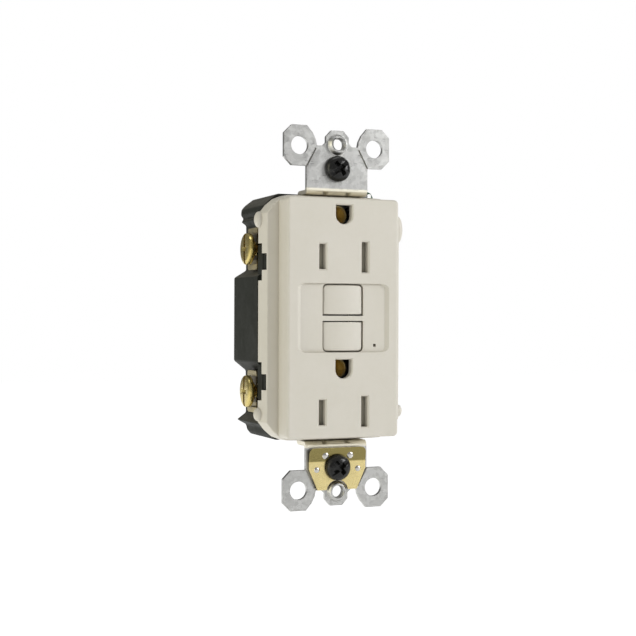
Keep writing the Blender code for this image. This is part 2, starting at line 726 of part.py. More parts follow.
def build_latch():
    loops = [rectangle((-2.6, -9.3), (2.6, 5.7)), rectangle((-1.3, -7.9), (1.3, -3.7))]
    latch = add_part("latch_plate", prism(loops, 11.6, 12.4), steel)
    join(latch, box((-2.5, 11.7, 5.0), (2.5, 15.4, 5.6)))
    set_origin(latch, (0, PLUNGER_Y, 0))
    profile = [(0, 18.0), (1.2, 18.0), (1.55, 17.6), (1.55, 6.4), (2.6, 6.4), (2.6, 6.0), (0, 6.0)]
    plunger = add_part("solenoid_plunger", turned("solenoid_plunger", profile, 20), steel)
    place(plunger, (0, PLUNGER_Y, 0))
    spring = add_part("plunger_spring", coil(2.9, 2.15, 0.4, 3), spring_steel)
    place(spring, (0, PLUNGER_Y, 6.7))


def build_solenoid():
    bobbin = [(4.2, 22.0), (4.2, 21.3), (3.8, 21.3), (3.8, 11.7), (4.2, 11.7), (4.2, 11.0), (1.85, 11.0),
              (1.85, 22.0)]
    coil_part = add_part("solenoid_coil", turned("solenoid_coil", bobbin, 20, True), copper)
    place(coil_part, (0, PLUNGER_Y, 0))
    path = filleted([(-4.6, 10.35), (5.2, 10.35), (5.2, 22.65), (-4.6, 22.65)], 0.7, 3)
    frame = bent_sheet(path, 3.6, 0.7)
    frame.transform(Matrix.Translation((0, PLUNGER_Y * MM, 0)) @ Matrix.Rotation(-math.pi / 2, 4, "Z"))
    frame_part = add_part("solenoid_frame", frame, galvanized)
    cut(frame_part, rod(2.0, 9.0, 12.0, (0, PLUNGER_Y), "Z", 16))


def build_carriage():
    # The block and its two arms drop back together when the latch lets go
    loops = [rectangle((-8.2, -8.2), (8.2, -1.8)), circle((0, RESET_PIN_Z), 1.3, 16)]
    carriage = add_part("contact_carriage", prism(loops, 13.0, 16.0), dark_plastic)
    set_origin(carriage, (0, 13.0, RESET_PIN_Z))
    for name, side in (("hot_contact_arm", -1), ("neutral_contact_arm", 1)):
        arm = add_part(name, side_box(side, (3.4, 12.1, -6.0), (13.0, 12.7, -2.2)), brass)
        set_origin(arm, (side * 8.2, 12.4, RESET_PIN_Z))


# Electronics

def build_electronics():
    outline = rounded_rectangle((-14.6, -27.0), (14.6, 27.0), 1.0, 2)
    add_part("circuit_board", prism([outline], BOARD_FRONT, BOARD_BACK), board_green)
    ring = [(7.0, 1.6), (7.0, -1.6), (3.4, -1.6), (3.4, 1.6)]
    for name, depth in (("sense_coil", 12.2), ("neutral_sense_coil", 16.0)):
        toroid = add_part(name, turned(name, ring, 20, True), copper)
        place(toroid, (0, depth, LINE_Z + 1.4), "+Y")
    add_part("surge_varistor", rod(4.0, 14.2, 17.6, (11.0, 5.2), "Y", 20), blue_epoxy)
    capacitor = rounded_rectangle((-14.6, 1.6), (-7.6, 9.4), 0.8, 2)
    add_part("filter_capacitor", prism([capacitor], 13.6, 18.3), amber_epoxy)
    add_part("controller_chip", box((-12.6, 16.9, 12.0), (-6.6, 18.3, 17.0)), black_epoxy)
    add_part("thyristor", box((6.8, 15.0, 12.0), (9.2, 18.3, 16.4)), black_epoxy)
    add_part("test_resistor", rod(1.1, 14.5, 21.5, (11.0, 17.0), "Z", 12), amber_epoxy)
    add_part("indicator_lamp", rod(1.2, 17.2, 18.3, (LAMP_X, LAMP_Z), "Y", 12), lamp_clear)
    pipe = add_part("light_pipe", rod(0.8, -3.9, 16.9, (LAMP_X, LAMP_Z), "Y", 12), lamp_clear)
    join(pipe, box((LAMP_X - 0.25, -5.3, LAMP_Z - 0.25), (LAMP_X + 0.25, -3.4, LAMP_Z + 0.25)))
    blade = add_part("test_contact_blade", box((-1.5, 10.15, 2.6), (1.5, 10.6, 9.2)), brass)
    join(blade, box((-1.4, 8.75, 8.4), (1.4, 10.4, 9.1)))


clear_scene()
parts = new_collection("gfci_outlet")
cutters = new_collection("cutters")

almond = finish("almond plastic", (0.645, 0.612, 0.535), 0.42)
almond_button = finish("almond button", (0.66, 0.63, 0.56), 0.38)
charcoal = finish("charcoal plastic", (0.042, 0.045, 0.04), 0.5)
dark_plastic = finish("dark plastic", (0.03, 0.03, 0.03), 0.6)
grey_plastic = finish("grey plastic", (0.22, 0.21, 0.19), 0.5)
galvanized = finish("galvanized steel", (0.62, 0.62, 0.61), 0.4, 1.0)
steel = finish("steel", (0.5, 0.5, 0.5), 0.35, 1.0)
black_steel = finish("black steel", (0.02, 0.02, 0.022), 0.3, 0.6)
green_steel = finish("green steel", (0.03, 0.16, 0.07), 0.35, 0.6)
nickel = finish("nickel plate", (0.66, 0.64, 0.6), 0.3, 1.0)
brass = finish("brass", (0.62, 0.46, 0.17), 0.3, 1.0)
dull_brass = finish("dull brass", (0.42, 0.34, 0.16), 0.4, 1.0)
bronze = finish("bronze", (0.45, 0.3, 0.14), 0.35, 1.0)
copper = finish("copper winding", (0.55, 0.2, 0.07), 0.35, 1.0)
spring_steel = finish("spring steel", (0.55, 0.55, 0.56), 0.3, 1.0)
fibre = finish("fibre washer", (0.35, 0.12, 0.06), 0.7)
board_green = finish("circuit board", (0.02, 0.14, 0.06), 0.45)
black_epoxy = finish("black epoxy", (0.02, 0.02, 0.02), 0.4)
blue_epoxy = finish("blue epoxy", (0.03, 0.08, 0.3), 0.4)
amber_epoxy = finish("amber epoxy", (0.5, 0.2, 0.05), 0.4)
lamp_clear = finish("lamp clear", (0.75, 0.8, 0.75), 0.15)

build_front_cover()
build_rear_housing()
build_separator()
build_case_screws()
build_strap()
build_grounding_clip()
build_mounting_screws()
build_ground_screw()
build_contact_strip("hot_contact_strip", -1)
build_contact_strip("neutral_contact_strip", 1)
build_clamps_and_screws()
build_ground_contact("upper_ground_contact", UPPER_GROUND_Z)
build_ground_contact("lower_ground_contact", LOWER_GROUND_Z)
build_shutter("upper_shutter", UPPER_BLADES_Z)
build_shutter("lower_shutter", LOWER_BLADES_Z)
build_test_button()
build_reset_button()
build_latch()
build_solenoid()
build_carriage()
build_electronics()
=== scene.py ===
import math

import bmesh
import bpy
from mathutils import Matrix, Vector


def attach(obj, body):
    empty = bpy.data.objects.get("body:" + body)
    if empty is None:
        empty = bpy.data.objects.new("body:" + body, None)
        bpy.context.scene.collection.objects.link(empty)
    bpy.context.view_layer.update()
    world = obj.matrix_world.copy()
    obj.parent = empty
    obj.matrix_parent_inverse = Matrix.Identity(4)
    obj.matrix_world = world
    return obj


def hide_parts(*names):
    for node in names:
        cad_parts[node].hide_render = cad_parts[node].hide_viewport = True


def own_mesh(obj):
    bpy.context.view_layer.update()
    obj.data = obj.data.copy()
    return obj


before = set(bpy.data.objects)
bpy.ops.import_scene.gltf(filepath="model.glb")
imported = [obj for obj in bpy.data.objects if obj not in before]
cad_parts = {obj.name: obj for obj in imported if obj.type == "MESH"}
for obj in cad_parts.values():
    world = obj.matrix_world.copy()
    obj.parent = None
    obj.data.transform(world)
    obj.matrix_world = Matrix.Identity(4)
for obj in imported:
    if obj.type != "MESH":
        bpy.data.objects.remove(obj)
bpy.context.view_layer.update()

# Everything below is drawn in millimetres and brought to metres when a piece is finished.
mm = 0.001
scene = bpy.context.scene


# working helpers

def trash(*items):
    for item in items:
        bpy.data.objects.remove(item, do_unlink=True)


def vertsOf(made):
    return [part for part in made["geom"] if isinstance(part, bmesh.types.BMVert)]


def slab(outline, near, far, axis="Y", rounding=0.0, segments=5, which=None):
    # a flat outline with rounded corners, pushed along one axis
    shape = bmesh.new()
    places = {"X": lambda a, b: (near, a, b), "Y": lambda a, b: (a, near, b), "Z": lambda a, b: (a, b, near)}
    corners = [shape.verts.new(places[axis](*point)) for point in outline]
    shape.faces.new(corners)
    if rounding:
        picked = corners if which is None else [corners[index] for index in which]
        bmesh.ops.bevel(shape, geom=picked, offset=rounding, offset_type="OFFSET", segments=segments,
                        profile=0.5, material=-1, affect="VERTICES")
    made = bmesh.ops.extrude_face_region(shape, geom=shape.faces[:])
    push = {"X": (far - near, 0, 0), "Y": (0, far - near, 0), "Z": (0, 0, far - near)}[axis]
    bmesh.ops.translate(shape, verts=vertsOf(made), vec=push)
    bmesh.ops.recalc_face_normals(shape, faces=shape.faces)
    return shape


def block(low, high):
    shape = bmesh.new()
    low, high = Vector(low), Vector(high)
    place = Matrix.Translation((low + high) / 2) @ Matrix.Diagonal((*(high - low), 1))
    bmesh.ops.create_cube(shape, size=1.0, matrix=place)
    return shape


def sideBlock(side, low, high):
    # given for the right side, mirrored when side is -1
    if side > 0:
        return block(low, high)
    return block((-high[0], low[1], low[2]), (-low[0], high[1], high[2]))


def rectangle(halfWidth, halfHeight, centre=(0, 0)):
    x, z = centre
    return [(x - halfWidth, z - halfHeight), (x + halfWidth, z - halfHeight), (x + halfWidth, z + halfHeight),
            (x - halfWidth, z + halfHeight)]


def turnedTo(towards):
    return Vector((0, 0, 1)).rotation_difference(Vector(towards)).to_matrix().to_4x4()


def peg(radius, centre, length, towards, segments=32, tip=None):
    # a round bar that starts at centre and runs along towards
    shape = bmesh.new()
    place = Matrix.Translation(Vector(centre)) @ turnedTo(towards) @ Matrix.Translation((0, 0, length / 2))
    bmesh.ops.create_cone(shape, cap_ends=True, segments=segments, radius1=radius,
                          radius2=radius if tip is None else tip, depth=length, matrix=place)
    return shape


def ball(radius, stretch, place):
    shape = bmesh.new()
    bmesh.ops.create_uvsphere(shape, u_segments=20, v_segments=12, radius=radius)
    bmesh.ops.scale(shape, vec=stretch, verts=shape.verts)
    bmesh.ops.translate(shape, vec=place, verts=shape.verts)
    return shape


def spun(profile, segments=48):
    # (radius, height) points turned once about the piece's own Z
    shape = bmesh.new()
    points = [shape.verts.new((radius, 0, height)) for radius, height in profile]
    for first, second in zip(points, points[1:]):
        shape.edges.new((first, second))
    bmesh.ops.spin(shape, geom=shape.verts[:] + shape.edges[:], cent=(0, 0, 0), axis=(0, 0, 1),
                   angle=math.tau, steps=segments, use_merge=True)
    bmesh.ops.remove_doubles(shape, verts=shape.verts, dist=1e-4)
    bmesh.ops.recalc_face_normals(shape, faces=shape.faces)
    return shape


def helix(section, turns, steps, climb):
    # a closed section of (radius, height) points wound about the piece's own Z
    shape = bmesh.new()
    shape.faces.new([shape.verts.new((radius, 0, height)) for radius, height in section])
    bmesh.ops.spin(shape, geom=shape.verts[:] + shape.edges[:] + shape.faces[:], cent=(0, 0, 0),
                   axis=(0, 0, 1), dvec=(0, 0, climb / steps), angle=math.tau * turns, steps=steps)
    bmesh.ops.recalc_face_normals(shape, faces=shape.faces)
    return shape


def threadRidge(radius, depth, pitch, start, length, perTurn=28):
    # one screw thread as a thin tooth that climbs along the piece's own Z
    foot = radius - depth * 0.4
    tooth = [(foot, start - pitch * 0.46), (radius + depth, start), (foot, start + pitch * 0.46)]
    turns = length / pitch
    return helix(tooth, turns, int(turns * perTurn), length)


def moved(shape, towards=(0, 0, 1), place=(0, 0, 0)):
    matrix = Matrix.Translation(Vector(place)) @ turnedTo(towards)
    bmesh.ops.transform(shape, matrix=matrix, verts=shape.verts)
    return shape


def joined(*shapes):
    # several shells kept in one piece
    whole = bmesh.new()
    for shape in shapes:
        carrier = bpy.data.meshes.new("carrier")
        shape.to_mesh(carrier)
        shape.free()
        whole.from_mesh(carrier)
        bpy.data.meshes.remove(carrier)
    return whole


def asObject(shape):
    mesh = bpy.data.meshes.new("blank")
    shape.to_mesh(mesh)
    shape.free()
    item = bpy.data.objects.new("blank", mesh)
    scene.collection.objects.link(item)
    return item


def worked(shape, cuts=(), joins=()):
    # adds the joins, then takes the cuts away
    item = asObject(shape)
    tools = []
    for kind, group in (("UNION", joins), ("DIFFERENCE", cuts)):
        for tool in group:
            helper = asObject(tool)
            step = item.modifiers.new("step", "BOOLEAN")
            step.operation = kind
            step.solver = "EXACT"
            step.object = helper
            tools.append(helper)
    graph = bpy.context.evaluated_depsgraph_get()
    graph.update()
    mesh = bpy.data.meshes.new_from_object(item.evaluated_get(graph), depsgraph=graph)
    trash(item, *tools)
    result = bmesh.new()
    result.from_mesh(mesh)
    bpy.data.meshes.remove(mesh)
    bmesh.ops.remove_doubles(result, verts=result.verts, dist=2e-3)
    return result


def flattened(shape):
    # melts the seams between faces that lie in one plane
    bmesh.ops.dissolve_limit(shape, angle_limit=math.radians(0.6), verts=shape.verts, edges=shape.edges,
                             use_dissolve_boundaries=False)
    return shape


def nodeShape(name):
    # a merged copy of a frame node, back in millimetres
    shape = bmesh.new()
    shape.from_mesh(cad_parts[name].data)
    bmesh.ops.scale(shape, vec=(1000, 1000, 1000), verts=shape.verts)
    bmesh.ops.remove_doubles(shape, verts=shape.verts, dist=1e-3)
    return flattened(shape)


def roundEdges(shape, edges, width, segments):
    bmesh.ops.bevel(shape, geom=edges, offset=width, offset_type="OFFSET", segments=segments, profile=0.5,
                    material=-1, affect="EDGES", clamp_overlap=True)


def softened(shape, width, segments=2, sharper=40, test=None):
    # rounds every edge that turns by more than sharper degrees, or of those the ones that pass the test
    limit = math.radians(sharper)
    edges = [edge for edge in shape.edges if edge.is_manifold and edge.calc_face_angle(0) > limit
             and (test is None or test(edge))]
    roundEdges(shape, edges, width, segments)
    return shape


def finishPiece(name, shape, slotName, body, *nodes, smoothTo=38):
    # brings a shape to metres, gives it its finish and hands it to its body
    bmesh.ops.dissolve_degenerate(shape, dist=1e-4, edges=shape.edges)
    mesh = bpy.data.meshes.new(name)
    shape.to_mesh(mesh)
    shape.free()
    mesh.transform(Matrix.Scale(mm, 4))
    mesh.materials.clear()
    mesh.materials.append(finishes[slotName])
    mesh.shade_smooth()
    mesh.set_sharp_from_angle(angle=math.radians(smoothTo))
    piece = bpy.data.objects.new(name, mesh)
    scene.collection.objects.link(piece)
    normals = piece.modifiers.new("flatten", "WEIGHTED_NORMAL")
    normals.keep_sharp = True
    normals.weight = 60
    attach(piece, body)
    if nodes:
        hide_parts(*nodes)
    return piece


# shader groups

def newGroup(name, inputs, outputs):
    group = bpy.data.node_groups.new(name, "ShaderNodeTree")
    for label, kind, value in inputs:
        socket = group.interface.new_socket(label, in_out="INPUT", socket_type="NodeSocket" + kind)
        if value is not None:
            socket.default_value = value
    for label, kind in outputs:
        group.interface.new_socket(label, in_out="OUTPUT", socket_type="NodeSocket" + kind)
    return group, group.nodes.new("NodeGroupInput"), group.nodes.new("NodeGroupOutput")


def addNode(tree, kind, values=None, **settings):
    made = tree.nodes.new("ShaderNode" + kind)
    for key, value in settings.items():
        setattr(made, key, value)
    for key, value in (values or {}).items():
        if isinstance(value, bpy.types.NodeSocket):
            tree.links.new(value, made.inputs[key])
        else:
            made.inputs[key].default_value = value
    return made


def maths(tree, operation, first, second=0.0, clamp=False):
    return addNode(tree, "Math", {0: first, 1: second}, operation=operation, use_clamp=clamp).outputs[0]


def remap(tree, value, low, high, toLow=0.0, toHigh=1.0):
    made = addNode(tree, "MapRange", {"Value": value, "From Min": low, "From Max": high, "To Min": toLow,
                                      "To Max": toHigh})
    return made.outputs["Result"]


def blended(tree, factor, first, second):
    return addNode(tree, "Mix", {0: factor, 6: first, 7: second}, data_type="RGBA").outputs[2]


def noiseAt(tree, place, scale, detail=2.0, roughness=0.5, distortion=0.0):
    made = addNode(tree, "TexNoise", {"Vector": place, "Scale": scale, "Detail": detail,
                                      "Roughness": roughness, "Distortion": distortion})
    return made.outputs["Fac"]


def buildGrain():
    # the fine spark-eroded skin that a mould leaves, with slow drifts of tint and gloss
    group, given, out = newGroup("mouldGrain", [("Vector", "Vector", None), ("Scale", "Float", 1.0)],
                                 [("Height", "Float"), ("Mottle", "Float"), ("Gloss", "Float")])
    place = given.outputs["Vector"]
    fineScale = maths(group, "MULTIPLY", given.outputs["Scale"], 5200.0)
    fine = noiseAt(group, place, fineScale, 3.0, 0.55)
    pits = addNode(group, "TexVoronoi", {"Vector": place, "Scale": maths(group, "MULTIPLY", fineScale, 0.45)},
                   feature="SMOOTH_F1")
    pitted = remap(group, pits.outputs["Distance"], 0.1, 0.7)
    height = maths(group, "ADD", maths(group, "MULTIPLY", fine, 0.6), maths(group, "MULTIPLY", pitted, 0.4))
    broad = noiseAt(group, place, maths(group, "MULTIPLY", given.outputs["Scale"], 85.0), 4.0, 0.6, 0.3)
    close = noiseAt(group, place, maths(group, "MULTIPLY", given.outputs["Scale"], 900.0), 3.0, 0.6)
    mottle = maths(group, "ADD", maths(group, "MULTIPLY", broad, 0.7), maths(group, "MULTIPLY", close, 0.3))
    gloss = noiseAt(group, place, maths(group, "MULTIPLY", given.outputs["Scale"], 260.0), 5.0, 0.65, 0.5)
    group.links.new(height, out.inputs["Height"])
    group.links.new(remap(group, mottle, 0.3, 0.7), out.inputs["Mottle"])
    group.links.new(remap(group, gloss, 0.3, 0.72), out.inputs["Gloss"])
    return group


def buildEdgeWear():
    # where an edge has been rubbed: the rounded normal leaves the flat one, broken up by noise
    group, given, out = newGroup("edgeWear", [("Vector", "Vector", None), ("Radius", "Float", 0.0003),
                                              ("Breakup", "Float", 900.0)], [("Mask", "Float")])
    bent = addNode(group, "Bevel", {"Radius": given.outputs["Radius"]}, samples=4)
    flat = addNode(group, "NewGeometry")
    same = addNode(group, "VectorMath", {0: bent.outputs["Normal"], 1: flat.outputs["Normal"]},
                   operation="DOT_PRODUCT")
    edge = remap(group, same.outputs["Value"], 0.995, 0.8)
    torn = noiseAt(group, given.outputs["Vector"], given.outputs["Breakup"], 4.0, 0.7)
    mask = maths(group, "MULTIPLY", edge, remap(group, torn, 0.38, 0.6), True)
    group.links.new(mask, out.inputs["Mask"])
    return group


def buildDustLightShade():
    # a dull dust film on what faces up, which on dark finishes is mostly painted top light, and painted shade
    # that darkens corners and creases
    group, given, out = newGroup("dustTopLightCornerShade", [("Vector", "Vector", None), ("Reach", "Float", 0.0015)],
                                 [("Film", "Float"), ("Corner", "Float")])
    hollow = addNode(group, "AmbientOcclusion", {"Distance": given.outputs["Reach"]}, samples=6)
    corner = remap(group, hollow.outputs["AO"], 0.85, 0.25)
    facing = addNode(group, "NewGeometry")
    split = addNode(group, "SeparateXYZ", {0: facing.outputs["Normal"]})
    upward = remap(group, split.outputs["Z"], 0.2, 1.0)
    speck = remap(group, noiseAt(group, given.outputs["Vector"], 700.0, 3.0, 0.5), 0.2, 0.8, 0.45, 1.0)
    film = maths(group, "MULTIPLY", upward, speck, True)
    group.links.new(film, out.inputs["Film"])
    group.links.new(corner, out.inputs["Corner"])
    return group


def buildSpangle():
    # zinc crystals of a few millimetres, each a little lighter or duller than the next
    group, given, out = newGroup("zincSpangle", [("Vector", "Vector", None), ("Scale", "Float", 520.0)],
                                 [("Tone", "Float"), ("Gloss", "Float"), ("Height", "Float")])
    sway = addNode(group, "TexNoise", {"Vector": given.outputs["Vector"], "Scale": 700.0, "Detail": 2.0})
    shifted = addNode(group, "VectorMath", {0: sway.outputs["Color"], 1: (0.0009, 0.0009, 0.0009)},
                      operation="MULTIPLY")
    place = addNode(group, "VectorMath", {0: given.outputs["Vector"], 1: shifted.outputs[0]}, operation="ADD")
    cells = addNode(group, "TexVoronoi", {"Vector": place.outputs[0], "Scale": given.outputs["Scale"]})
    tone = addNode(group, "SeparateXYZ", {0: cells.outputs["Color"]})
    ripple = noiseAt(group, given.outputs["Vector"], 6000.0, 2.0, 0.5)
    group.links.new(tone.outputs["X"], out.inputs["Tone"])
    group.links.new(tone.outputs["Y"], out.inputs["Gloss"])
    group.links.new(ripple, out.inputs["Height"])
    return group


def buildScratches():
    # long thin handling marks in two directions
    group, given, out = newGroup("handlingMarks", [("Vector", "Vector", None), ("Scale", "Float", 1.0)],
                                 [("Mask", "Float")])
    strands = []
    for turn, stretch in (((0.4, 0.2, 0.5), (220.0, 5200.0, 5200.0)),
                          ((-0.7, 0.5, 1.3), (5600.0, 260.0, 5600.0))):
        place = addNode(group, "Mapping", {"Vector": given.outputs["Vector"], "Rotation": turn,
                                           "Scale": stretch})
        grown = addNode(group, "VectorMath", {0: place.outputs[0], 1: given.outputs["Scale"]},
                        operation="MULTIPLY")
        strands.append(remap(group, noiseAt(group, grown.outputs[0], 1.0, 2.0, 0.4), 0.62, 0.7))
    both = maths(group, "MAXIMUM", strands[0], strands[1], True)
    group.links.new(both, out.inputs["Mask"])
    return group


print("shader groups")
grainGroup = buildGrain()
wearGroup = buildEdgeWear()
dustLightShadeGroup = buildDustLightShade()
spangleGroup = buildSpangle()
marksGroup = buildScratches()


# finishes, one for each slot of the record

bareMetal = {"grain": 1.0, "metal": 1.0, "marks": 0.3}
# in each look the corner colour and its amount are painted shade in corners and creases, and the dust amount
# is of dust and painted top light on what faces up
looks = {
    "almond_plastic": {"base": (0.70, 0.67, 0.60), "second": (0.665, 0.635, 0.555),
        "worn": (0.80, 0.77, 0.69), "wear": 0.25, "rough": (0.36, 0.5), "grain": 0.8, "depth": 6e-6,
        "grime": (0.30, 0.26, 0.19), "grimy": 0.45, "dustAndPaintedLight": 0.05, "sheen": 0.4},
    "almond_button": {"base": (0.71, 0.68, 0.61), "second": (0.675, 0.645, 0.565),
        "worn": (0.80, 0.77, 0.70), "wear": 0.2, "rough": (0.3, 0.44), "grain": 0.8, "depth": 5e-6,
        "grime": (0.30, 0.26, 0.19), "grimy": 0.4, "dustAndPaintedLight": 0.03, "sheen": 0.45},
    # the charcoal's heavy film lightens what faces up: mostly painted top light
    "charcoal_plastic": {"base": (0.018, 0.020, 0.0155), "second": (0.025, 0.027, 0.0215),
        "worn": (0.10, 0.10, 0.09), "wear": 0.4, "rough": (0.52, 0.72), "grain": 0.6, "depth": 1.8e-5,
        "grime": (0.008, 0.008, 0.007), "grimy": 0.4, "dustAndPaintedLight": 0.32, "sheen": 0.14},
    "dark_plastic": {"base": (0.026, 0.027, 0.026), "second": (0.034, 0.034, 0.032),
        "worn": (0.08, 0.08, 0.08), "wear": 0.3, "rough": (0.42, 0.6), "grain": 0.7, "depth": 1.5e-5,
        "grime": (0.012, 0.012, 0.011), "grimy": 0.3, "dustAndPaintedLight": 0.05, "sheen": 0.4},
    "grey_plastic": {"base": (0.43, 0.41, 0.34), "second": (0.37, 0.35, 0.285), "worn": (0.3, 0.29, 0.26),
        "wear": 0.3, "rough": (0.4, 0.55), "grain": 0.7, "depth": 1.0e-5, "grime": (0.05, 0.05, 0.04),
        "grimy": 0.4, "dustAndPaintedLight": 0.05, "sheen": 0.4},
    # the strap's worn colour is dark, so its edges are drawn darker; its corner colour is tan, painted shade
    # with a painted reflection of the almond cover
    "galvanized_steel": {**bareMetal, "base": (0.47, 0.47, 0.455), "second": (0.64, 0.64, 0.625),
        "worn": (0.20, 0.20, 0.19), "wear": 0.85, "rough": (0.3, 0.48), "depth": 7e-6,
        "grime": (0.46, 0.42, 0.33), "grimy": 0.25, "dustAndPaintedLight": 0.05, "spangle": 0.8, "marks": 0.12},
    "steel": {**bareMetal, "base": (0.5, 0.5, 0.49), "second": (0.58, 0.58, 0.57),
        "worn": (0.72, 0.72, 0.72), "wear": 0.4, "rough": (0.26, 0.4), "depth": 5e-6,
        "grime": (0.1, 0.09, 0.08), "grimy": 0.5, "dustAndPaintedLight": 0.05},
    "black_steel": {"base": (0.010, 0.010, 0.010), "second": (0.016, 0.016, 0.015),
        "worn": (0.16, 0.16, 0.15), "wear": 0.3, "rough": (0.16, 0.3), "grain": 0.8, "depth": 8e-6,
        "grime": (0.008, 0.008, 0.008), "grimy": 0.3, "dustAndPaintedLight": 0.04, "metal": 0.4, "marks": 0.15,
        "sheen": 0.5},
    "green_steel": {"base": (0.025, 0.13, 0.055), "second": (0.035, 0.165, 0.075), "worn": (0.2, 0.28, 0.2),
        "wear": 0.5, "rough": (0.24, 0.4), "grain": 0.8, "depth": 7e-6, "grime": (0.02, 0.05, 0.03),
        "grimy": 0.4, "dustAndPaintedLight": 0.05, "metal": 0.75, "marks": 0.3},
    "nickel_plate": {**bareMetal, "base": (0.62, 0.60, 0.56), "second": (0.70, 0.68, 0.64),
        "worn": (0.82, 0.80, 0.76), "wear": 0.4, "rough": (0.18, 0.32), "depth": 4e-6,
        "grime": (0.16, 0.14, 0.1), "grimy": 0.5, "dustAndPaintedLight": 0.04},
    "brass": {**bareMetal, "base": (0.60, 0.48, 0.155), "second": (0.70, 0.57, 0.215),
        "worn": (0.86, 0.72, 0.38), "wear": 0.55, "rough": (0.2, 0.36), "depth": 5e-6,
        "grime": (0.16, 0.10, 0.03), "grimy": 0.6, "dustAndPaintedLight": 0.04},
    "dull_brass": {**bareMetal, "base": (0.46, 0.39, 0.22), "second": (0.56, 0.49, 0.29),
        "worn": (0.68, 0.58, 0.34), "wear": 0.5, "rough": (0.3, 0.48), "depth": 8e-6,
        "grime": (0.1, 0.08, 0.04), "grimy": 0.6, "dustAndPaintedLight": 0.05, "marks": 0.35},
    "bronze": {**bareMetal, "base": (0.80, 0.66, 0.34), "second": (0.86, 0.73, 0.42),
        "worn": (0.66, 0.48, 0.27), "wear": 0.4, "rough": (0.26, 0.42), "depth": 5e-6,
        "grime": (0.12, 0.07, 0.03), "grimy": 0.5, "dustAndPaintedLight": 0.03},
    "copper_winding": {**bareMetal, "base": (0.50, 0.18, 0.06), "second": (0.60, 0.25, 0.09),
        "worn": (0.72, 0.38, 0.18), "wear": 0.2, "rough": (0.22, 0.34), "depth": 6e-6,
        "grime": (0.1, 0.03, 0.01), "grimy": 0.5, "dustAndPaintedLight": 0.02, "marks": 0.1},
    "spring_steel": {**bareMetal, "base": (0.52, 0.52, 0.53), "second": (0.6, 0.6, 0.6),
        "worn": (0.74, 0.74, 0.75), "wear": 0.2, "rough": (0.2, 0.34), "depth": 4e-6,
        "grime": (0.1, 0.1, 0.1), "grimy": 0.4, "dustAndPaintedLight": 0.02},
    "fibre": {"base": (0.33, 0.115, 0.055), "second": (0.25, 0.085, 0.04), "worn": (0.48, 0.26, 0.16),
        "wear": 0.4, "rough": (0.6, 0.8), "grain": 0.5, "depth": 2.5e-5, "grime": (0.1, 0.04, 0.02),
        "grimy": 0.4, "dustAndPaintedLight": 0.08},
    "circuit_board": {"base": (0.018, 0.13, 0.055), "second": (0.03, 0.19, 0.085), "worn": (0.5, 0.46, 0.3),
        "wear": 0.2, "rough": (0.28, 0.42), "grain": 1.0, "depth": 6e-6, "grime": (0.01, 0.05, 0.02),
        "grimy": 0.3, "dustAndPaintedLight": 0.03, "sheen": 0.5},
    "black_epoxy": {"base": (0.018, 0.018, 0.018), "second": (0.028, 0.028, 0.028),
        "worn": (0.08, 0.08, 0.08), "wear": 0.2, "rough": (0.36, 0.52), "grain": 0.8, "depth": 1.2e-5,
        "grime": (0.01, 0.01, 0.01), "grimy": 0.2, "dustAndPaintedLight": 0.03, "sheen": 0.4},
    "blue_epoxy": {"base": (0.025, 0.075, 0.28), "second": (0.035, 0.10, 0.34), "worn": (0.2, 0.28, 0.5),
        "wear": 0.1, "rough": (0.2, 0.34), "grain": 0.5, "depth": 1.5e-5, "grime": (0.01, 0.02, 0.08),
        "grimy": 0.3, "dustAndPaintedLight": 0.02, "sheen": 0.5},
    "amber_epoxy": {"base": (0.48, 0.19, 0.045), "second": (0.56, 0.26, 0.07), "worn": (0.7, 0.42, 0.2),
        "wear": 0.1, "rough": (0.2, 0.34), "grain": 0.5, "depth": 1.5e-5, "grime": (0.12, 0.05, 0.01),
        "grimy": 0.3, "dustAndPaintedLight": 0.02, "sheen": 0.5},
    "lamp_clear": {"base": (0.06, 0.065, 0.06), "second": (0.05, 0.055, 0.05), "worn": (0.2, 0.21, 0.2),
        "wear": 0.2, "rough": (0.08, 0.2), "grain": 1.0, "depth": 3e-6, "grime": (0.02, 0.02, 0.02),
        "grimy": 0.3, "dustAndPaintedLight": 0.02, "clear": 0.3},
}

# what every finish shares: metres for the wear and for the reach of the painted corner shade, the colour of
# the dust and painted top light, cells per metre for the zinc
skin = {"wearRadius": 0.00028, "wearBreakup": 850.0, "shadeReach": 0.0016, "dustAndLightColour": (0.5, 0.48, 0.43, 1),
        "dustRough": 0.6, "crystals": 950.0, "crystalGloss": 0.6, "markGloss": 0.1, "markDepth": 0.5,
        "bump": 0.9}

# zones of painted shade, highlight and reflection on a finish, in metres: a band of height either side of the
# middle plane, between a near and a far distance from the midline
paintedLightZones = {
    "galvanized_steel": [  # the strip where the strap bends: painted reflection of the almond cover
        {"height": 0.035, "half": 0.0011, "near": -0.001, "far": 0.0103, "tint": (1.0, 0.95, 0.80, 1)}],
    "brass": [  # painted shade on the clip's bend, a painted highlight on its flat part, and painted shade on the terminal plates beside the screws
        {"height": 0.0376, "half": 0.0024, "near": -0.001, "far": 0.0103, "tint": (0.28, 0.235, 0.09, 1)},
        {"height": 0.0448, "half": 0.0048, "near": -0.001, "far": 0.0103, "tint": (0.80, 0.67, 0.32, 1)},
        {"height": 0.0201, "half": 0.0042, "near": 0.0175, "far": 0.0192, "tint": (0.16, 0.11, 0.03, 1)}],
    "dull_brass": [  # painted shade on the hollow middle of the clamps
        {"height": 0.0201, "half": 0.0038, "near": -0.001, "far": 0.0197, "tint": (0.12, 0.095, 0.04, 1)}],
}
paintedLightFade = {"height": 0.0002, "side": 0.0001}


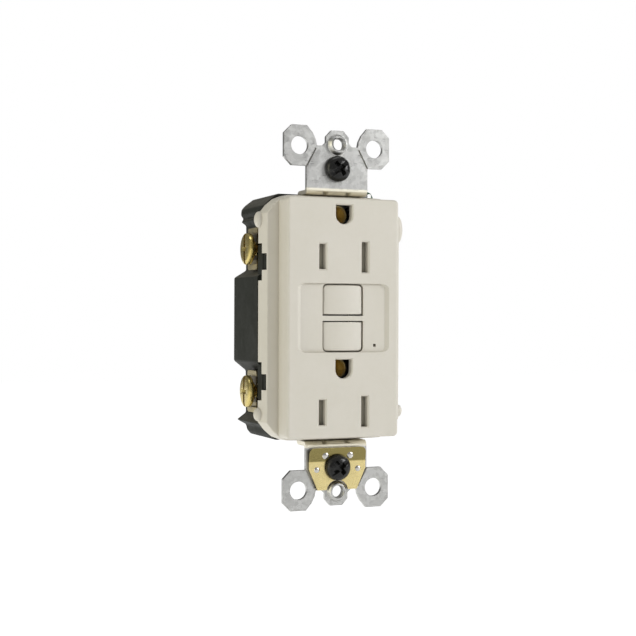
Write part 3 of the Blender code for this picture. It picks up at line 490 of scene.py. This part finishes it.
def paintedLightMask(tree, place, zone):
    # 1 inside a zone of painted light or shade, 0 outside it
    split = addNode(tree, "SeparateXYZ", {0: place})
    level = maths(tree, "ABSOLUTE", split.outputs["Z"])
    away = maths(tree, "ABSOLUTE", maths(tree, "SUBTRACT", level, zone["height"]))
    aside = maths(tree, "ABSOLUTE", split.outputs["X"])
    fade = paintedLightFade["side"]
    inside = maths(tree, "MULTIPLY", remap(tree, aside, zone["far"] + fade, zone["far"] - fade),
                   remap(tree, aside, zone["near"] - fade, zone["near"] + fade))
    fade = paintedLightFade["height"]
    return maths(tree, "MULTIPLY", remap(tree, away, zone["half"] + fade, zone["half"] - fade), inside)


def makeFinish(slotName, look):
    material = bpy.data.materials.new(slotName + "_finish")
    material.use_nodes = True
    tree = material.node_tree
    shader = tree.nodes["Principled BSDF"]
    place = addNode(tree, "TexCoord").outputs["Object"]

    def useGroup(group, **values):
        return addNode(tree, "Group", {"Vector": place, **values}, node_tree=group).outputs

    def over(mask, amount, under, colour):
        return blended(tree, maths(tree, "MULTIPLY", mask, amount), under, colour)

    grain = useGroup(grainGroup, Scale=look["grain"])
    wear = useGroup(wearGroup, Radius=skin["wearRadius"], Breakup=skin["wearBreakup"])
    dustAndPaintedLight = useGroup(dustLightShadeGroup, Reach=skin["shadeReach"])
    tone, gloss, height = grain["Mottle"], grain["Gloss"], grain["Height"]
    worn = (*look["worn"], 1)
    if "spangle" in look:
        zinc = useGroup(spangleGroup, Scale=skin["crystals"])
        share = skin["crystalGloss"]
        tone = maths(tree, "ADD", maths(tree, "MULTIPLY", zinc["Tone"], look["spangle"]),
                     maths(tree, "MULTIPLY", tone, 1.0 - look["spangle"]))
        gloss = maths(tree, "ADD", maths(tree, "MULTIPLY", zinc["Gloss"], share),
                      maths(tree, "MULTIPLY", gloss, 1.0 - share))
    colour = blended(tree, tone, (*look["base"], 1), (*look["second"], 1))
    rough = remap(tree, gloss, 0.0, 1.0, *look["rough"])
    if "marks" in look:
        marks = useGroup(marksGroup, Scale=1.0)["Mask"]
        colour = over(marks, look["marks"], colour, worn)
        rough = maths(tree, "SUBTRACT", rough, maths(tree, "MULTIPLY", marks, skin["markGloss"]), True)
        height = maths(tree, "SUBTRACT", height, maths(tree, "MULTIPLY", marks, skin["markDepth"]))
    # painted shade, highlight and reflection in this finish's zones
    for zone in paintedLightZones.get(slotName, ()):
        colour = blended(tree, paintedLightMask(tree, place, zone), colour, zone["tint"])
    # painted shade that darkens corners and creases
    colour = over(dustAndPaintedLight["Corner"], look["grimy"], colour, (*look["grime"], 1))
    colour = over(wear["Mask"], look["wear"], colour, worn)
    # dust on what faces up, partly painted top light
    film = maths(tree, "MULTIPLY", dustAndPaintedLight["Film"], look["dustAndPaintedLight"])
    colour = blended(tree, film, colour, skin["dustAndLightColour"])
    rough = maths(tree, "ADD", rough, maths(tree, "MULTIPLY", film, skin["dustRough"]), True)
    bump = addNode(tree, "Bump", {"Height": height, "Distance": look["depth"], "Strength": skin["bump"]})
    tree.links.new(colour, shader.inputs["Base Color"])
    tree.links.new(rough, shader.inputs["Roughness"])
    tree.links.new(bump.outputs["Normal"], shader.inputs["Normal"])
    shader.inputs["Metallic"].default_value = look.get("metal", 0.0)
    shader.inputs["Specular IOR Level"].default_value = look.get("sheen", 0.5)
    if "clear" in look:
        shader.inputs["Transmission Weight"].default_value = look["clear"]
        shader.inputs["IOR"].default_value = 1.49
    return material


finishes = {slotName: makeFinish(slotName, look) for slotName, look in looks.items()}
for name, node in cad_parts.items():
    for slot in node.material_slots:
        slot.material = finishes[slot.material.name.split(".")[0]]


# camera, floor and light

camera = {"place": (-0.1399, -0.3359, 0.0), "turn": -23.0, "lean": 0.2, "lens": 73.4, "shift": -0.0409}

eye = bpy.data.cameras.new("camera")
eye.lens = camera["lens"]
eye.sensor_width = 36.0
eye.shift_x = camera["shift"]
eye.clip_start = 0.01
eyeObject = bpy.data.objects.new("camera", eye)
scene.collection.objects.link(eyeObject)
eyeObject.matrix_world = (Matrix.Translation(camera["place"])
                          @ Matrix.Rotation(math.radians(camera["turn"]), 4, "Z")
                          @ Matrix.Rotation(math.radians(90), 4, "X")
                          @ Matrix.Rotation(math.radians(camera["lean"]), 4, "Z"))
scene.camera = eyeObject
scene.view_settings.view_transform = "Standard"

studio = {"floor": -0.32, "halfSize": 6.0, "glow": (0.1, 0.8), "pool": (0.0, -0.6, 0.0),
          "poolReach": (0.3, 1.25), "ambient": 0.33, "shade": 0.2, "brightSide": (0.35, -0.75, 0.55)}


def buildFloor():
    shape = bmesh.new()
    bmesh.ops.create_grid(shape, x_segments=1, y_segments=1, size=studio["halfSize"],
                          matrix=Matrix.Translation((0, 0, studio["floor"])))
    mesh = bpy.data.meshes.new("floor")
    shape.to_mesh(mesh)
    shape.free()
    floor = bpy.data.objects.new("floor", mesh)
    scene.collection.objects.link(floor)
    material = bpy.data.materials.new("pale_floor")
    material.use_nodes = True
    shader = material.node_tree.nodes["Principled BSDF"]
    shader.inputs["Base Color"].default_value = (0.9, 0.9, 0.9, 1)
    shader.inputs["Roughness"].default_value = 0.9
    shader.inputs["Emission Color"].default_value = (1, 1, 1, 1)
    tree = material.node_tree  # a soft darker pool in front; farther off it melts into the backdrop
    away = addNode(tree, "VectorMath", {0: addNode(tree, "TexCoord").outputs["Object"], 1: studio["pool"]},
                   operation="DISTANCE")
    level = remap(tree, away.outputs["Value"], *studio["poolReach"], *studio["glow"])
    tree.links.new(level, shader.inputs["Emission Strength"])
    mesh.materials.append(material)


def buildWorld():
    # white to the eye; as a light it is softer, and dimmer from behind and from the left
    world = bpy.data.worlds.new("studio")
    world.use_nodes = True
    scene.world = world
    tree = world.node_tree
    back = tree.nodes["Background"]
    out = tree.nodes["World Output"]
    seen = addNode(tree, "Background", {"Color": (1, 1, 1, 1), "Strength": 1.0})
    ray = addNode(tree, "LightPath")
    towards = addNode(tree, "TexCoord").outputs["Generated"]
    facing = addNode(tree, "VectorMath", {0: towards, 1: studio["brightSide"]}, operation="DOT_PRODUCT")
    level = remap(tree, facing.outputs["Value"], -0.9, 0.9, studio["shade"], studio["ambient"])
    tree.links.new(level, back.inputs["Strength"])
    back.inputs["Color"].default_value = (1.0, 1.0, 1.0, 1)
    mix = addNode(tree, "MixShader", {0: ray.outputs["Is Camera Ray"], 1: back.outputs[0],
                                      2: seen.outputs[0]})
    tree.links.new(mix.outputs[0], out.inputs["Surface"])


def softbox(name, place, size, power, colour=(1, 1, 1)):
    # a rectangular light that faces the part
    light = bpy.data.lights.new(name, "AREA")
    light.shape = "RECTANGLE"
    light.size, light.size_y = size
    light.energy = power
    light.color = colour
    item = bpy.data.objects.new(name, light)
    scene.collection.objects.link(item)
    item.location = place
    item.rotation_euler = (-Vector(place)).to_track_quat("-Z", "Y").to_euler()


buildFloor()
buildWorld()
softbox("key", (0.70, -0.60, 0.35), (0.4, 0.5), 4.75)
softbox("left_fill", (-0.9, -0.2, 0.2), (0.5, 0.8), 2.3, (1.0, 0.95, 0.71))
softbox("top_strip", (0.0, -0.1, 0.9), (0.6, 0.3), 1.1)


# front cover

cover = {"halfWidth": 16.65, "halfHeight": 33.2, "front": -6.4, "inside": -4.2, "back": 1.2, "corner": 1.3,
         "frontEdge": 0.8, "shoulder": 0.7, "flangeBack": 4.6, "hollowBack": 5.6, "flangeHalf": 21.4,
         "shoulderHalf": 20.0, "panelFloor": -5.6, "panelHalf": (12.6, 13.7), "panelHeight": 9.55,
         "wells": ((0.6, 9.45), (-9.45, -0.8)), "wellHalf": 6.1, "wellCorner": 1.4,
         "slotHalf": 0.95, "slotTall": (3.5, 4.25), "slotCorner": 0.12, "rim": 0.4, "slotFlare": 0.42,
         "groundRound": 2.39, "groundFlare": 1.3, "indicator": ((9.2, -8.0), (10.0, -7.2)),
         "notches": ((10.3, 20.6), (-22.9, -12.3)), "windows": ((13.2, 17.8), (-20.0, -15.6)),
         "post": 2.3, "postHole": 1.5}
bumps = {-1: ((27.2, 2.3), (-26.8, 1.9)), 1: ((25.6, 3.9), (-26.8, 1.9))}  # heights and half heights by side
bladeHeights = (16.9, -26.0)
groundHeights = (28.6, -14.1)
bladeX = 6.35
caseScrews = {"upper_left": (-6.0, 29.8), "upper_right": (6.0, 29.8), "lower_left": (-13.2, -30.2),
              "lower_right": (13.2, -30.2)}


def bothSides(right):
    return right + [(-x, z) for x, z in reversed(right)]


def fourWays(corner):
    # the outline of a shape that is the same on all four corners
    return bothSides(corner + [(x, -z) for x, z in reversed(corner)])


def flare(outline, centre, growX, growZ, rim, rounding=0.0, segments=5, which=None):
    # a funnel that leaves a sloping rim round an opening in the face
    shape = slab(outline, cover["front"] + rim, cover["front"] - rim, "Y", rounding, segments, which)
    front = [vert for vert in shape.verts if vert.co.y < cover["front"]]
    middle = Matrix.Translation((-centre[0], 0, -centre[1]))
    bmesh.ops.scale(shape, vec=(growX, 1, growZ), space=middle, verts=front)
    return shape


def groundOutline(height):
    # a D lying on its flat side, and the corners of it that are rounded
    top, bottom = height + 2.65, height - 2.65
    return [(2.4, top), (-2.4, top), (-2.4, bottom), (2.4, bottom)], (2, 3)


def opening(outline, rounding, segments, which=None):
    # a tool that goes right through the face
    return slab(outline, cover["front"] - 1, cover["inside"] + 1, "Y", rounding, segments, which)


def coverFlange():
    corner = [(12.5, 34.1), (15.0, 34.0), (17.5, 33.0), (19.6, 31.2), (cover["flangeHalf"], 28.9)]
    flange = slab(fourWays(corner), cover["shoulder"], cover["flangeBack"])
    narrow = [vert for vert in flange.verts if vert.co.y < cover["shoulder"] + 0.1]
    bmesh.ops.scale(flange, vec=(cover["shoulderHalf"] / cover["flangeHalf"], 1, 1), verts=narrow)
    return softened(flange, 0.3, 3, 50)


def panelTool():
    # the shallow bed round the buttons, with sloping ends
    front, height = cover["front"], cover["panelHeight"]
    floorHalf, edgeHalf = cover["panelHalf"]
    over = (edgeHalf - floorHalf) * 1.5
    panel = [(-floorHalf, cover["panelFloor"]), (floorHalf, cover["panelFloor"]),
             (floorHalf + over, front - 0.4), (-floorHalf - over, front - 0.4)]
    return softened(slab(panel, -height, height, "Z"), 1.5, 5, 40,
                    lambda edge: all(abs(vert.co.x) > 11 for vert in edge.verts)
                    and abs(edge.verts[0].co.y - edge.verts[1].co.y) > 0.5)


def faceOpenings():
    cuts = []
    for low, high in cover["wells"]:
        outline = rectangle(cover["wellHalf"], (high - low) / 2, (0, (high + low) / 2))
        cuts.append(opening(outline, cover["wellCorner"], 5, (2, 3) if low > 0 else (0, 1)))
    half, spread, corner = cover["slotHalf"], 2 * cover["slotFlare"], cover["slotCorner"]
    for height in bladeHeights:
        for middle, tall in zip((-bladeX, bladeX), cover["slotTall"]):
            outline = rectangle(half, tall, (middle, height))
            cuts.append(opening(outline, corner, 2))
            cuts.append(flare(outline, (middle, height), 1 + spread / half, 1 + spread / tall, cover["rim"],
                              corner, 2))
    grow = cover["groundFlare"]
    for height in groundHeights:
        outline, rounded = groundOutline(height)
        cuts.append(opening(outline, cover["groundRound"], 12, rounded))
        cuts.append(flare(outline, (0, height), grow, grow, cover["rim"], cover["groundRound"], 12, rounded))
    (left, low), (right, high) = cover["indicator"]
    cuts.append(block((left, cover["front"] - 1, low), (right, cover["inside"] + 1, high)))
    return cuts


def buildCover():
    front, inside, back = cover["front"], cover["inside"], cover["hollowBack"]
    outline = rectangle(cover["halfWidth"], cover["halfHeight"])
    face = slab(outline, front, cover["back"], "Y", cover["corner"], 6)
    softened(face, cover["frontEdge"], 4, 60,
             lambda edge: all(vert.co.y < front + 0.01 for vert in edge.verts))
    joins = [coverFlange()]
    for side, places in bumps.items():
        for height, tall in places:
            joins.append(ball(1.0, (1.45, 1.45, tall), (side * 21.2, 4.2, height)))
    for x, z in caseScrews.values():
        joins.append(peg(cover["post"], (x, inside - 0.8, z), 8.4, (0, 1, 0), 24))

    cuts = [block((-14.9, inside, -31.9), (14.9, back, 31.9)),
            slab(fourWays([(12.0, 32.6), (14.6, 32.5), (16.6, 31.4), (18.2, 28.6)]), 2.3, back),
            panelTool(), *faceOpenings()]
    for side in (-1, 1):  # notches and windows for the housing's hooks
        for low, high in cover["notches"]:
            cuts.append(sideBlock(side, (17.0, 2.9, low), (23.0, back, high)))
        for low, high in cover["windows"]:
            cuts.append(sideBlock(side, (18.4, 1.0, low), (23.0, 3.2, high)))
    for x, z in caseScrews.values():
        cuts.append(peg(cover["postHole"], (x, -3.0, z), 9.0, (0, 1, 0), 24))
    finishPiece("front_cover_moulding", worked(face, cuts, joins), "almond_plastic", "case", "front_cover",
                smoothTo=30)


print("front cover")
buildCover()


# buttons

button = {"halfWidth": 5.8, "front": -6.1, "back": -1.2, "crown": 0.8, "edge": 0.35, "corner": 1.1,
          "strips": 16, "test": (1.0, 9.1), "reset": (-9.1, -1.1), "stem": 5.0, "lipHalf": 7.0,
          "lip": (-3.8, -2.7)}


def buttonCap(low, high):
    half, front, strips = button["halfWidth"], button["front"], button["strips"]
    outline = [(-half, low), (half, low), (half, high), (-half, high)]
    outer = (2, 3) if low > 0 else (0, 1)
    shape = slab(outline, front, button["back"], "Y", button["corner"], 5, outer)
    for step in range(1, strips):  # strips that let the front curve from side to side
        place = -half + 2 * half * step / strips
        bmesh.ops.bisect_plane(shape, geom=shape.verts[:] + shape.edges[:] + shape.faces[:], dist=1e-5,
                               plane_co=(place, 0, 0), plane_no=(1, 0, 0))
    for vert in shape.verts:
        if vert.co.y < front + 0.01:
            vert.co.y += button["crown"] * (vert.co.x / half) ** 2
    rim = [edge for edge in shape.edges if edge.calc_face_angle(0) > math.radians(60)
           and all(vert.co.y < front + button["crown"] + 0.05 for vert in edge.verts)]
    roundEdges(shape, rim, button["edge"], 3)
    return shape


def buttonLip(low, high):
    # the ledge that holds a button behind the cover
    near, far = button["lip"]
    return softened(block((-button["lipHalf"], near, low), (button["lipHalf"], far, high)), 0.15, 2, 60)


def buildButtons():
    stem = softened(peg(1.1, (0, -1.6, button["stem"]), 10.2, (0, 1, 0), 28), 0.2, 2, 60)
    cap = worked(buttonCap(*button["test"]), (), [buttonLip(1.3, 9.9), stem])
    finishPiece("test_button_cap", cap, "almond_button", "test_button", "test_button")
    bore = peg(1.3, (0, -3.3, -button["stem"]), 3.0, (0, 1, 0), 28)
    cap = worked(buttonCap(*button["reset"]), [bore], [buttonLip(-9.9, -1.4)])
    finishPiece("reset_button_cap", cap, "almond_button", "reset_button", "reset_button")


print("buttons")
buildButtons()


# rear housing

housing = {"front": 4.9, "back": 25.6, "floor": 23.8, "round": 0.4, "backEdge": 0.7, "label": 0.25,
           "hooks": ((10.6, 20.3), (-22.6, -12.6)), "hookTips": ((13.5, 17.5), (-19.7, -15.9))}
screwDepth = 12.6  # how far back the terminal screws stand
terminals = {"load_hot": {"side": -1, "height": 19.45, "finish": "brass"},
             "line_hot": {"side": -1, "height": -20.8, "finish": "brass"},
             "load_neutral": {"side": 1, "height": 19.45, "finish": "nickel_plate"},
             "line_neutral": {"side": 1, "height": -20.8, "finish": "nickel_plate"}}


def groundPocket(grow=0.0):
    return block((10.4 - grow, housing["front"] - 3, 28.6 - grow), (22.0, 16.0 + grow, 37.0))


def housingCuts():
    front, back, floor = housing["front"], housing["back"], housing["floor"]
    hollow = slab(bothSides([
        (14.6, 32.9), (16.8, 31.0), (16.0, 28.0), (16.0, 13.0), (19.4, 10.9), (19.4, -11.8), (15.9, -14.6),
        (15.9, -30.6), (14.9, -32.3)]), front - 1, floor)
    cuts = [groundPocket(), worked(hollow, [groundPocket(0.9)])]
    for terminal in terminals.values():
        side, height = terminal["side"], terminal["height"]
        cuts.append(sideBlock(side, (15.0, 8.3, height - 2.8), (18.6, 9.8, height + 2.8)))
        cuts.append(peg(2.2, (side * 14.4, screwDepth, height), 5.0, (side, 0, 0), 28))
    for low, high in ((-36.0, -32.0), (32.0, 36.0)):  # seats for the strap's ends
        cuts.append(block((-9.6, front - 1, low), (9.6, 6.4, high)))
    cuts.append(block((4.6, front - 1, 34.1), (10.9, 14.0, 36.0)))
    for x, z in caseScrews.values():  # bore, counterbore and its chamfer
        cuts.append(peg(1.5, (x, floor - 1, z), 4.0, (0, 1, 0), 24))
        cuts.append(peg(2.7, (x, back - 1.0, z), 3.0, (0, 1, 0), 32))
        cuts.append(peg(2.7, (x, back - 0.3, z), 0.61, (0, 1, 0), 32, 3.3))
    # blank label bed, wire strip gauge and mould ejector marks
    cuts.append(slab(rectangle(12.5, 9.5, (0, 6.0)), back - housing["label"], back + 1, "Y", 1.0, 5))
    cuts.append(slab(rectangle(5.6, 0.9, (0, -11.0)), back - 0.5, back + 1, "Y", 0.88, 6))
    for x, z in ((-13.0, 22.0), (13.0, 22.0), (-13.0, -20.0), (13.0, -20.0), (0.0, -24.0)):
        cuts.append(peg(1.6, (x, back - 0.12, z), 1.0, (0, 1, 0), 28))
    return cuts


def buildHousing():
    back = housing["back"]
    outline = bothSides([
        (15.6, 34.7), (18.2, 32.7), (19.25, 31.5), (19.4, 29.9), (18.6, 28.8), (19.25, 27.9), (17.8, 26.9),
        (17.8, 13.8), (21.4, 11.6), (21.4, -12.5), (17.8, -15.4), (17.7, -27.7), (20.4, -29.7),
        (17.7, -31.2), (17.2, -32.9), (16.1, -34.1)])
    body = slab(outline, housing["front"], back, "Y", housing["round"], 3)
    softened(body, housing["backEdge"], 4, 60,
             lambda edge: all(vert.co.y > back - 0.01 for vert in edge.verts))
    joins = []
    for side in (-1, 1):
        for low, high in housing["hooks"]:
            joins.append(softened(sideBlock(side, (17.45, 3.2, low), (20.5, 7.2, high)), 0.25, 3, 60))
        for low, high in housing["hookTips"]:
            joins.append(softened(sideBlock(side, (18.8, 1.3, low), (20.2, 3.4, high)), 0.2, 3, 60))
    finishPiece("rear_housing_moulding", worked(body, housingCuts(), joins), "charcoal_plastic", "case",
                "rear_housing")


print("rear housing")
buildHousing()


# strap and grounding clip

threadPitch = 0.79
strap = {"edge": 0.16, "tapped": 48.42, "screws": 41.67,
         "collar": [(2.1, 1.5), (2.32, 1.35), (2.75, 0.12), (3.1, -0.02), (3.1, -0.3), (1.76, -0.3),
                    (1.76, 1.4), (1.86, 1.5), (2.1, 1.5)]}
rivets = ((3.7, -38.3, 1.05, -2.15), (6.2, -42.2, 0.85, -1.95))  # X, Z, radius and Y on the clip


def buildStrap():
    cuts, joins, threads = [], [], []
    for end in (-1, 1):
        height = end * strap["tapped"]
        joins.append(moved(spun(strap["collar"], 48), (0, -1, 0), (0, -1.2, height)))
        cuts.append(peg(1.8, (0, -3.0, height), 4.0, (0, 1, 0), 48))
        ridge = threadRidge(1.78, -0.16, threadPitch, 0.3, 2.2)
        threads.append(moved(ridge, (0, 1, 0), (0, -2.75, height)))
    shape = flattened(worked(nodeShape("mounting_strap"), cuts, joins))
    softened(shape, strap["edge"], 2, 50)
    finishPiece("strap_stamping", joined(shape, *threads), "galvanized_steel", "case", "mounting_strap")


def buildClip():
    finishPiece("grounding_clip_spring", softened(nodeShape("grounding_clip"), 0.1, 2, 50), "brass", "case",
                "grounding_clip")
    heads = [ball(radius, (1, 0.42, 1), (side * x, proud, z))
             for side in (-1, 1) for x, z, radius, proud in rivets]
    finishPiece("grounding_clip_rivets", joined(*heads), "nickel_plate", "case")


print("strap")
buildStrap()
buildClip()


# screws

# each design: the turned profile, the recess, the rims broken above a height, and the thread
mountingScrew = {
    "profile": [(0, 2.1), (0.9, 2.08), (1.7, 1.98), (2.4, 1.78), (2.95, 1.47), (3.35, 1.08), (3.58, 0.66),
                (3.65, 0.3), (3.6, 0.06), (3.45, 0.0), (1.62, 0.0), (1.5, -0.12), (1.5, -14.4), (1.0, -15.4),
                (0.8, -15.6), (0, -15.6)],
    "segments": 56, "cross": {"length": 6.0, "width": 1.7, "top": 2.2, "bottom": 0.3},
    "slot": ((-3.2, -0.55, 1.1), (3.2, 0.55, 3.0)), "rim": 0.07, "rimAbove": 0.7, "turn": 38.0,
    "thread": {"radius": 1.48, "depth": 0.2, "pitch": threadPitch, "start": -14.6, "length": 10.6}}
terminalScrew = {
    "profile": [(0, 1.8), (1.6, 1.8), (3.4, 1.76), (4.05, 1.62), (4.4, 1.38), (4.5, 1.05), (4.5, 0.4),
                (4.4, 0.14), (4.2, 0.0), (1.9, 0.0), (1.72, -0.15), (1.72, -7.7), (1.2, -8.3), (0, -8.3)],
    "segments": 64, "cross": {"length": 4.6, "width": 1.3, "top": 1.9, "bottom": 0.5},
    "slot": ((-5, -0.6, 1.0), (5, 0.6, 3.0)), "rim": 0.08, "rimAbove": 0.25,
    "thread": {"radius": 1.70, "depth": 0.2, "pitch": threadPitch, "start": -7.6, "length": 6.6}}
groundScrew = {
    "profile": [(0, 1.5), (2.7, 1.47), (3.5, 1.36), (3.85, 1.1), (3.98, 0.75), (3.98, 0.25), (3.85, 0.0),
                (1.9, 0.0), (1.75, -0.15), (1.75, -1.9), (1.3, -2.4), (0, -2.4)],
    "segments": 56, "cross": {"length": 3.8, "width": 1.1, "top": 1.6, "bottom": 0.5},
    "slot": ((-5, -0.5, 0.9), (5, 0.5, 3.0)), "rim": 0.08, "rimAbove": 0.4}
caseScrew = {
    "profile": [(0, 0.0), (1.9, 0.0), (2.2, -0.12), (2.3, -0.4), (2.2, -0.72), (1.1, -1.0), (1.1, -25.6),
                (0.5, -26.8), (0, -26.8)],
    "segments": 40, "cross": {"length": 2.9, "width": 0.75, "top": 0.1, "bottom": -0.62},
    "thread": {"radius": 1.05, "depth": 0.2, "pitch": 1.0, "start": -26.0, "length": 12.0}}


def crossTool(length, width, top, bottom):
    # two tapered blades for a cross recess
    blades = []
    for along in (0, 1):
        size = (length, width) if along == 0 else (width, length)
        blade = block((-size[0] / 2, -size[1] / 2, bottom), (size[0] / 2, size[1] / 2, top + 1))
        foot = [vert for vert in blade.verts if vert.co.z < bottom + 0.01]
        bmesh.ops.scale(blade, vec=(0.5, 0.5, 1), verts=foot)
        blades.append(blade)
    return worked(blades[0], (), [blades[1]])


def turnedScrew(design, *cuts):
    shape = worked(spun(design["profile"], design["segments"]), cuts)
    if "rim" in design:
        softened(shape, design["rim"], 2, 45,
                 lambda edge: all(vert.co.z > design["rimAbove"] for vert in edge.verts))
    return joined(shape, threadRidge(**design["thread"])) if "thread" in design else shape


def buildMountingScrew(name, seat, height):
    whole = turnedScrew(mountingScrew, crossTool(**mountingScrew["cross"]), block(*mountingScrew["slot"]))
    turn = Matrix.Rotation(math.radians(mountingScrew["turn"]), 3, "Z")
    bmesh.ops.rotate(whole, cent=(0, 0, 0), matrix=turn, verts=whole.verts)
    moved(whole, (0, -1, 0), (0, seat, height))
    finishPiece(name + "_turned", whole, "black_steel", name, name)


def buildTerminalScrew(name, side, height, slotName):
    slot = softened(block(*terminalScrew["slot"]), 0.12, 2, 60)
    whole = turnedScrew(terminalScrew, slot, crossTool(**terminalScrew["cross"]))
    moved(whole, (side, 0, 0), (side * 20.9, screwDepth, height))
    finishPiece(name + "_turned", whole, slotName, name, name)


def buildClamp(name, side, height):
    # a saddle: two raised ends, and a middle pressed back under the screw head
    plate = slab(rectangle(3.9, 5.9, (12.0, height)), side * 19.2, side * 20.5, "X", 0.8, 4)
    hollow = sideBlock(side, (19.5, 6.0, height - 4.4), (22.0, 19.0, height + 4.4))
    front = sideBlock(side, (18.0, 6.0, height - 4.2), (22.0, 11.0, height + 4.2))
    bore = peg(2.1, (side * 18.0, screwDepth, height), 4.0, (side, 0, 0), 32)
    shape = softened(worked(plate, [hollow, front, bore]), 0.14, 2, 50)
    finishPiece(name + "_plate", shape, "dull_brass", name, name)


def buildGroundScrew():
    shape = turnedScrew(groundScrew, block(*groundScrew["slot"]), crossTool(**groundScrew["cross"]))
    moved(shape, (1, 0, 0), (13.1, 9.6, 32.7))
    finishPiece("ground_screw_turned", shape, "green_steel", "ground_screw", "ground_screw")


def buildCaseScrews():
    for place, (x, z) in caseScrews.items():
        whole = turnedScrew(caseScrew, crossTool(**caseScrew["cross"]))
        moved(whole, (0, 1, 0), (x, 25.62, z))
        finishPiece("case_screw_" + place + "_turned", whole, "steel", "case", "case_screw_" + place)


print("screws")
buildMountingScrew("mounting_screw_upper", -1.5, strap["screws"])
buildMountingScrew("mounting_screw_lower", -2.3, -strap["screws"])
for name, terminal in terminals.items():
    buildTerminalScrew(name + "_screw", terminal["side"], terminal["height"], terminal["finish"])
    buildClamp(name + "_clamp", terminal["side"], terminal["height"])
    plate = softened(nodeShape(name + "_terminal"), 0.08, 2, 50)
    finishPiece(name + "_terminal_plate", plate, "brass", "case", name + "_terminal")
buildGroundScrew()
buildCaseScrews()


# inner pieces seen through the openings

contactLeaves = [(2.35, -0.9), (1.75, 0.6), (0.75, 2.6), (0.75, 4.2), (0.95, 4.2), (0.95, 2.7), (1.95, 0.7),
                 (2.55, -0.8), (2.35, -0.9)]


def buildGroundContact(name, height):
    # the drawn sleeve, with leaves inside that close on the pin
    leaves = moved(spun(contactLeaves, 40), (0, 1, 0), (0, 0, height))
    sleeve = softened(nodeShape(name), 0.06, 2, 50)
    finishPiece(name + "_made", joined(sleeve, leaves), "bronze", "case", name)


def buildLightPipe():
    # its tip is cut back, so that the indicator hole stays dark
    tip = block((9.0, -6.0, -8.2), (10.2, -4.0, -7.0))
    finishPiece("light_pipe_made", worked(nodeShape("light_pipe"), [tip]), "lamp_clear", "case", "light_pipe")


# drawn pieces that only want their edges broken: finish, body and width
brokenEdges = {"retaining_washer_upper": ("fibre", "case", 0.12),
               "retaining_washer_lower": ("fibre", "case", 0.12),
               "upper_shutter": ("grey_plastic", "upper_shutter", 0.2),
               "lower_shutter": ("grey_plastic", "lower_shutter", 0.2),
               "hot_contact_strip": ("brass", "case", 0.08), "neutral_contact_strip": ("brass", "case", 0.08),
               "separator": ("dark_plastic", "case", 0.15)}

print("inner pieces")
buildGroundContact("upper_ground_contact", groundHeights[0])
buildGroundContact("lower_ground_contact", groundHeights[1])
buildLightPipe()
for name, (slotName, body, width) in brokenEdges.items():
    finishPiece(name + "_made", softened(nodeShape(name), width, 2, 50), slotName, body, name)


# springs: a wound coil for each one, set at its start and along its axis

buttonSpring = {"along": (0, 1, 0), "length": 6.9, "radius": 1.75, "wire": 0.4, "turns": 4}
shutterSpring = {"along": (1, 0, 0), "length": 6.0, "travel": 2.2, "radius": 0.7, "wire": 0.3, "turns": 5}
springs = {
    "test_spring": {**buttonSpring, "joint": "test_press", "start": (0, -0.9, 5.0), "travel": 1.2},
    "reset_spring": {**buttonSpring, "joint": "reset_press", "start": (0, -0.9, -5.0), "travel": 1.6},
    "upper_shutter_spring": {**shutterSpring, "joint": "upper_shutter_slide",
                             "start": (8.4, -3.0, bladeHeights[0])},
    "lower_shutter_spring": {**shutterSpring, "joint": "lower_shutter_slide",
                             "start": (8.4, -3.0, bladeHeights[1])},
    "plunger_spring": {"joint": "latch_slide", "along": (0, 0, 1), "start": (0, 14.0, 6.7), "length": 2.9,
                       "travel": 1.6, "radius": 2.15, "wire": 0.4, "turns": 3},
}


def coiledWire(length, radius, wire, turns):
    half = wire / 2
    ring = [(radius + half * math.cos(step * math.tau / 8), half + half * math.sin(step * math.tau / 8))
            for step in range(8)]
    return helix(ring, turns, turns * 24, length - wire)


print("springs")
for name, spring in springs.items():
    wound = coiledWire(spring["length"], spring["radius"], spring["wire"], spring["turns"])
    moved(wound, spring["along"], spring["start"])
    piece = finishPiece(name + "_coil", wound, "spring_steel", "case", name, smoothTo=60)
    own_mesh(piece)
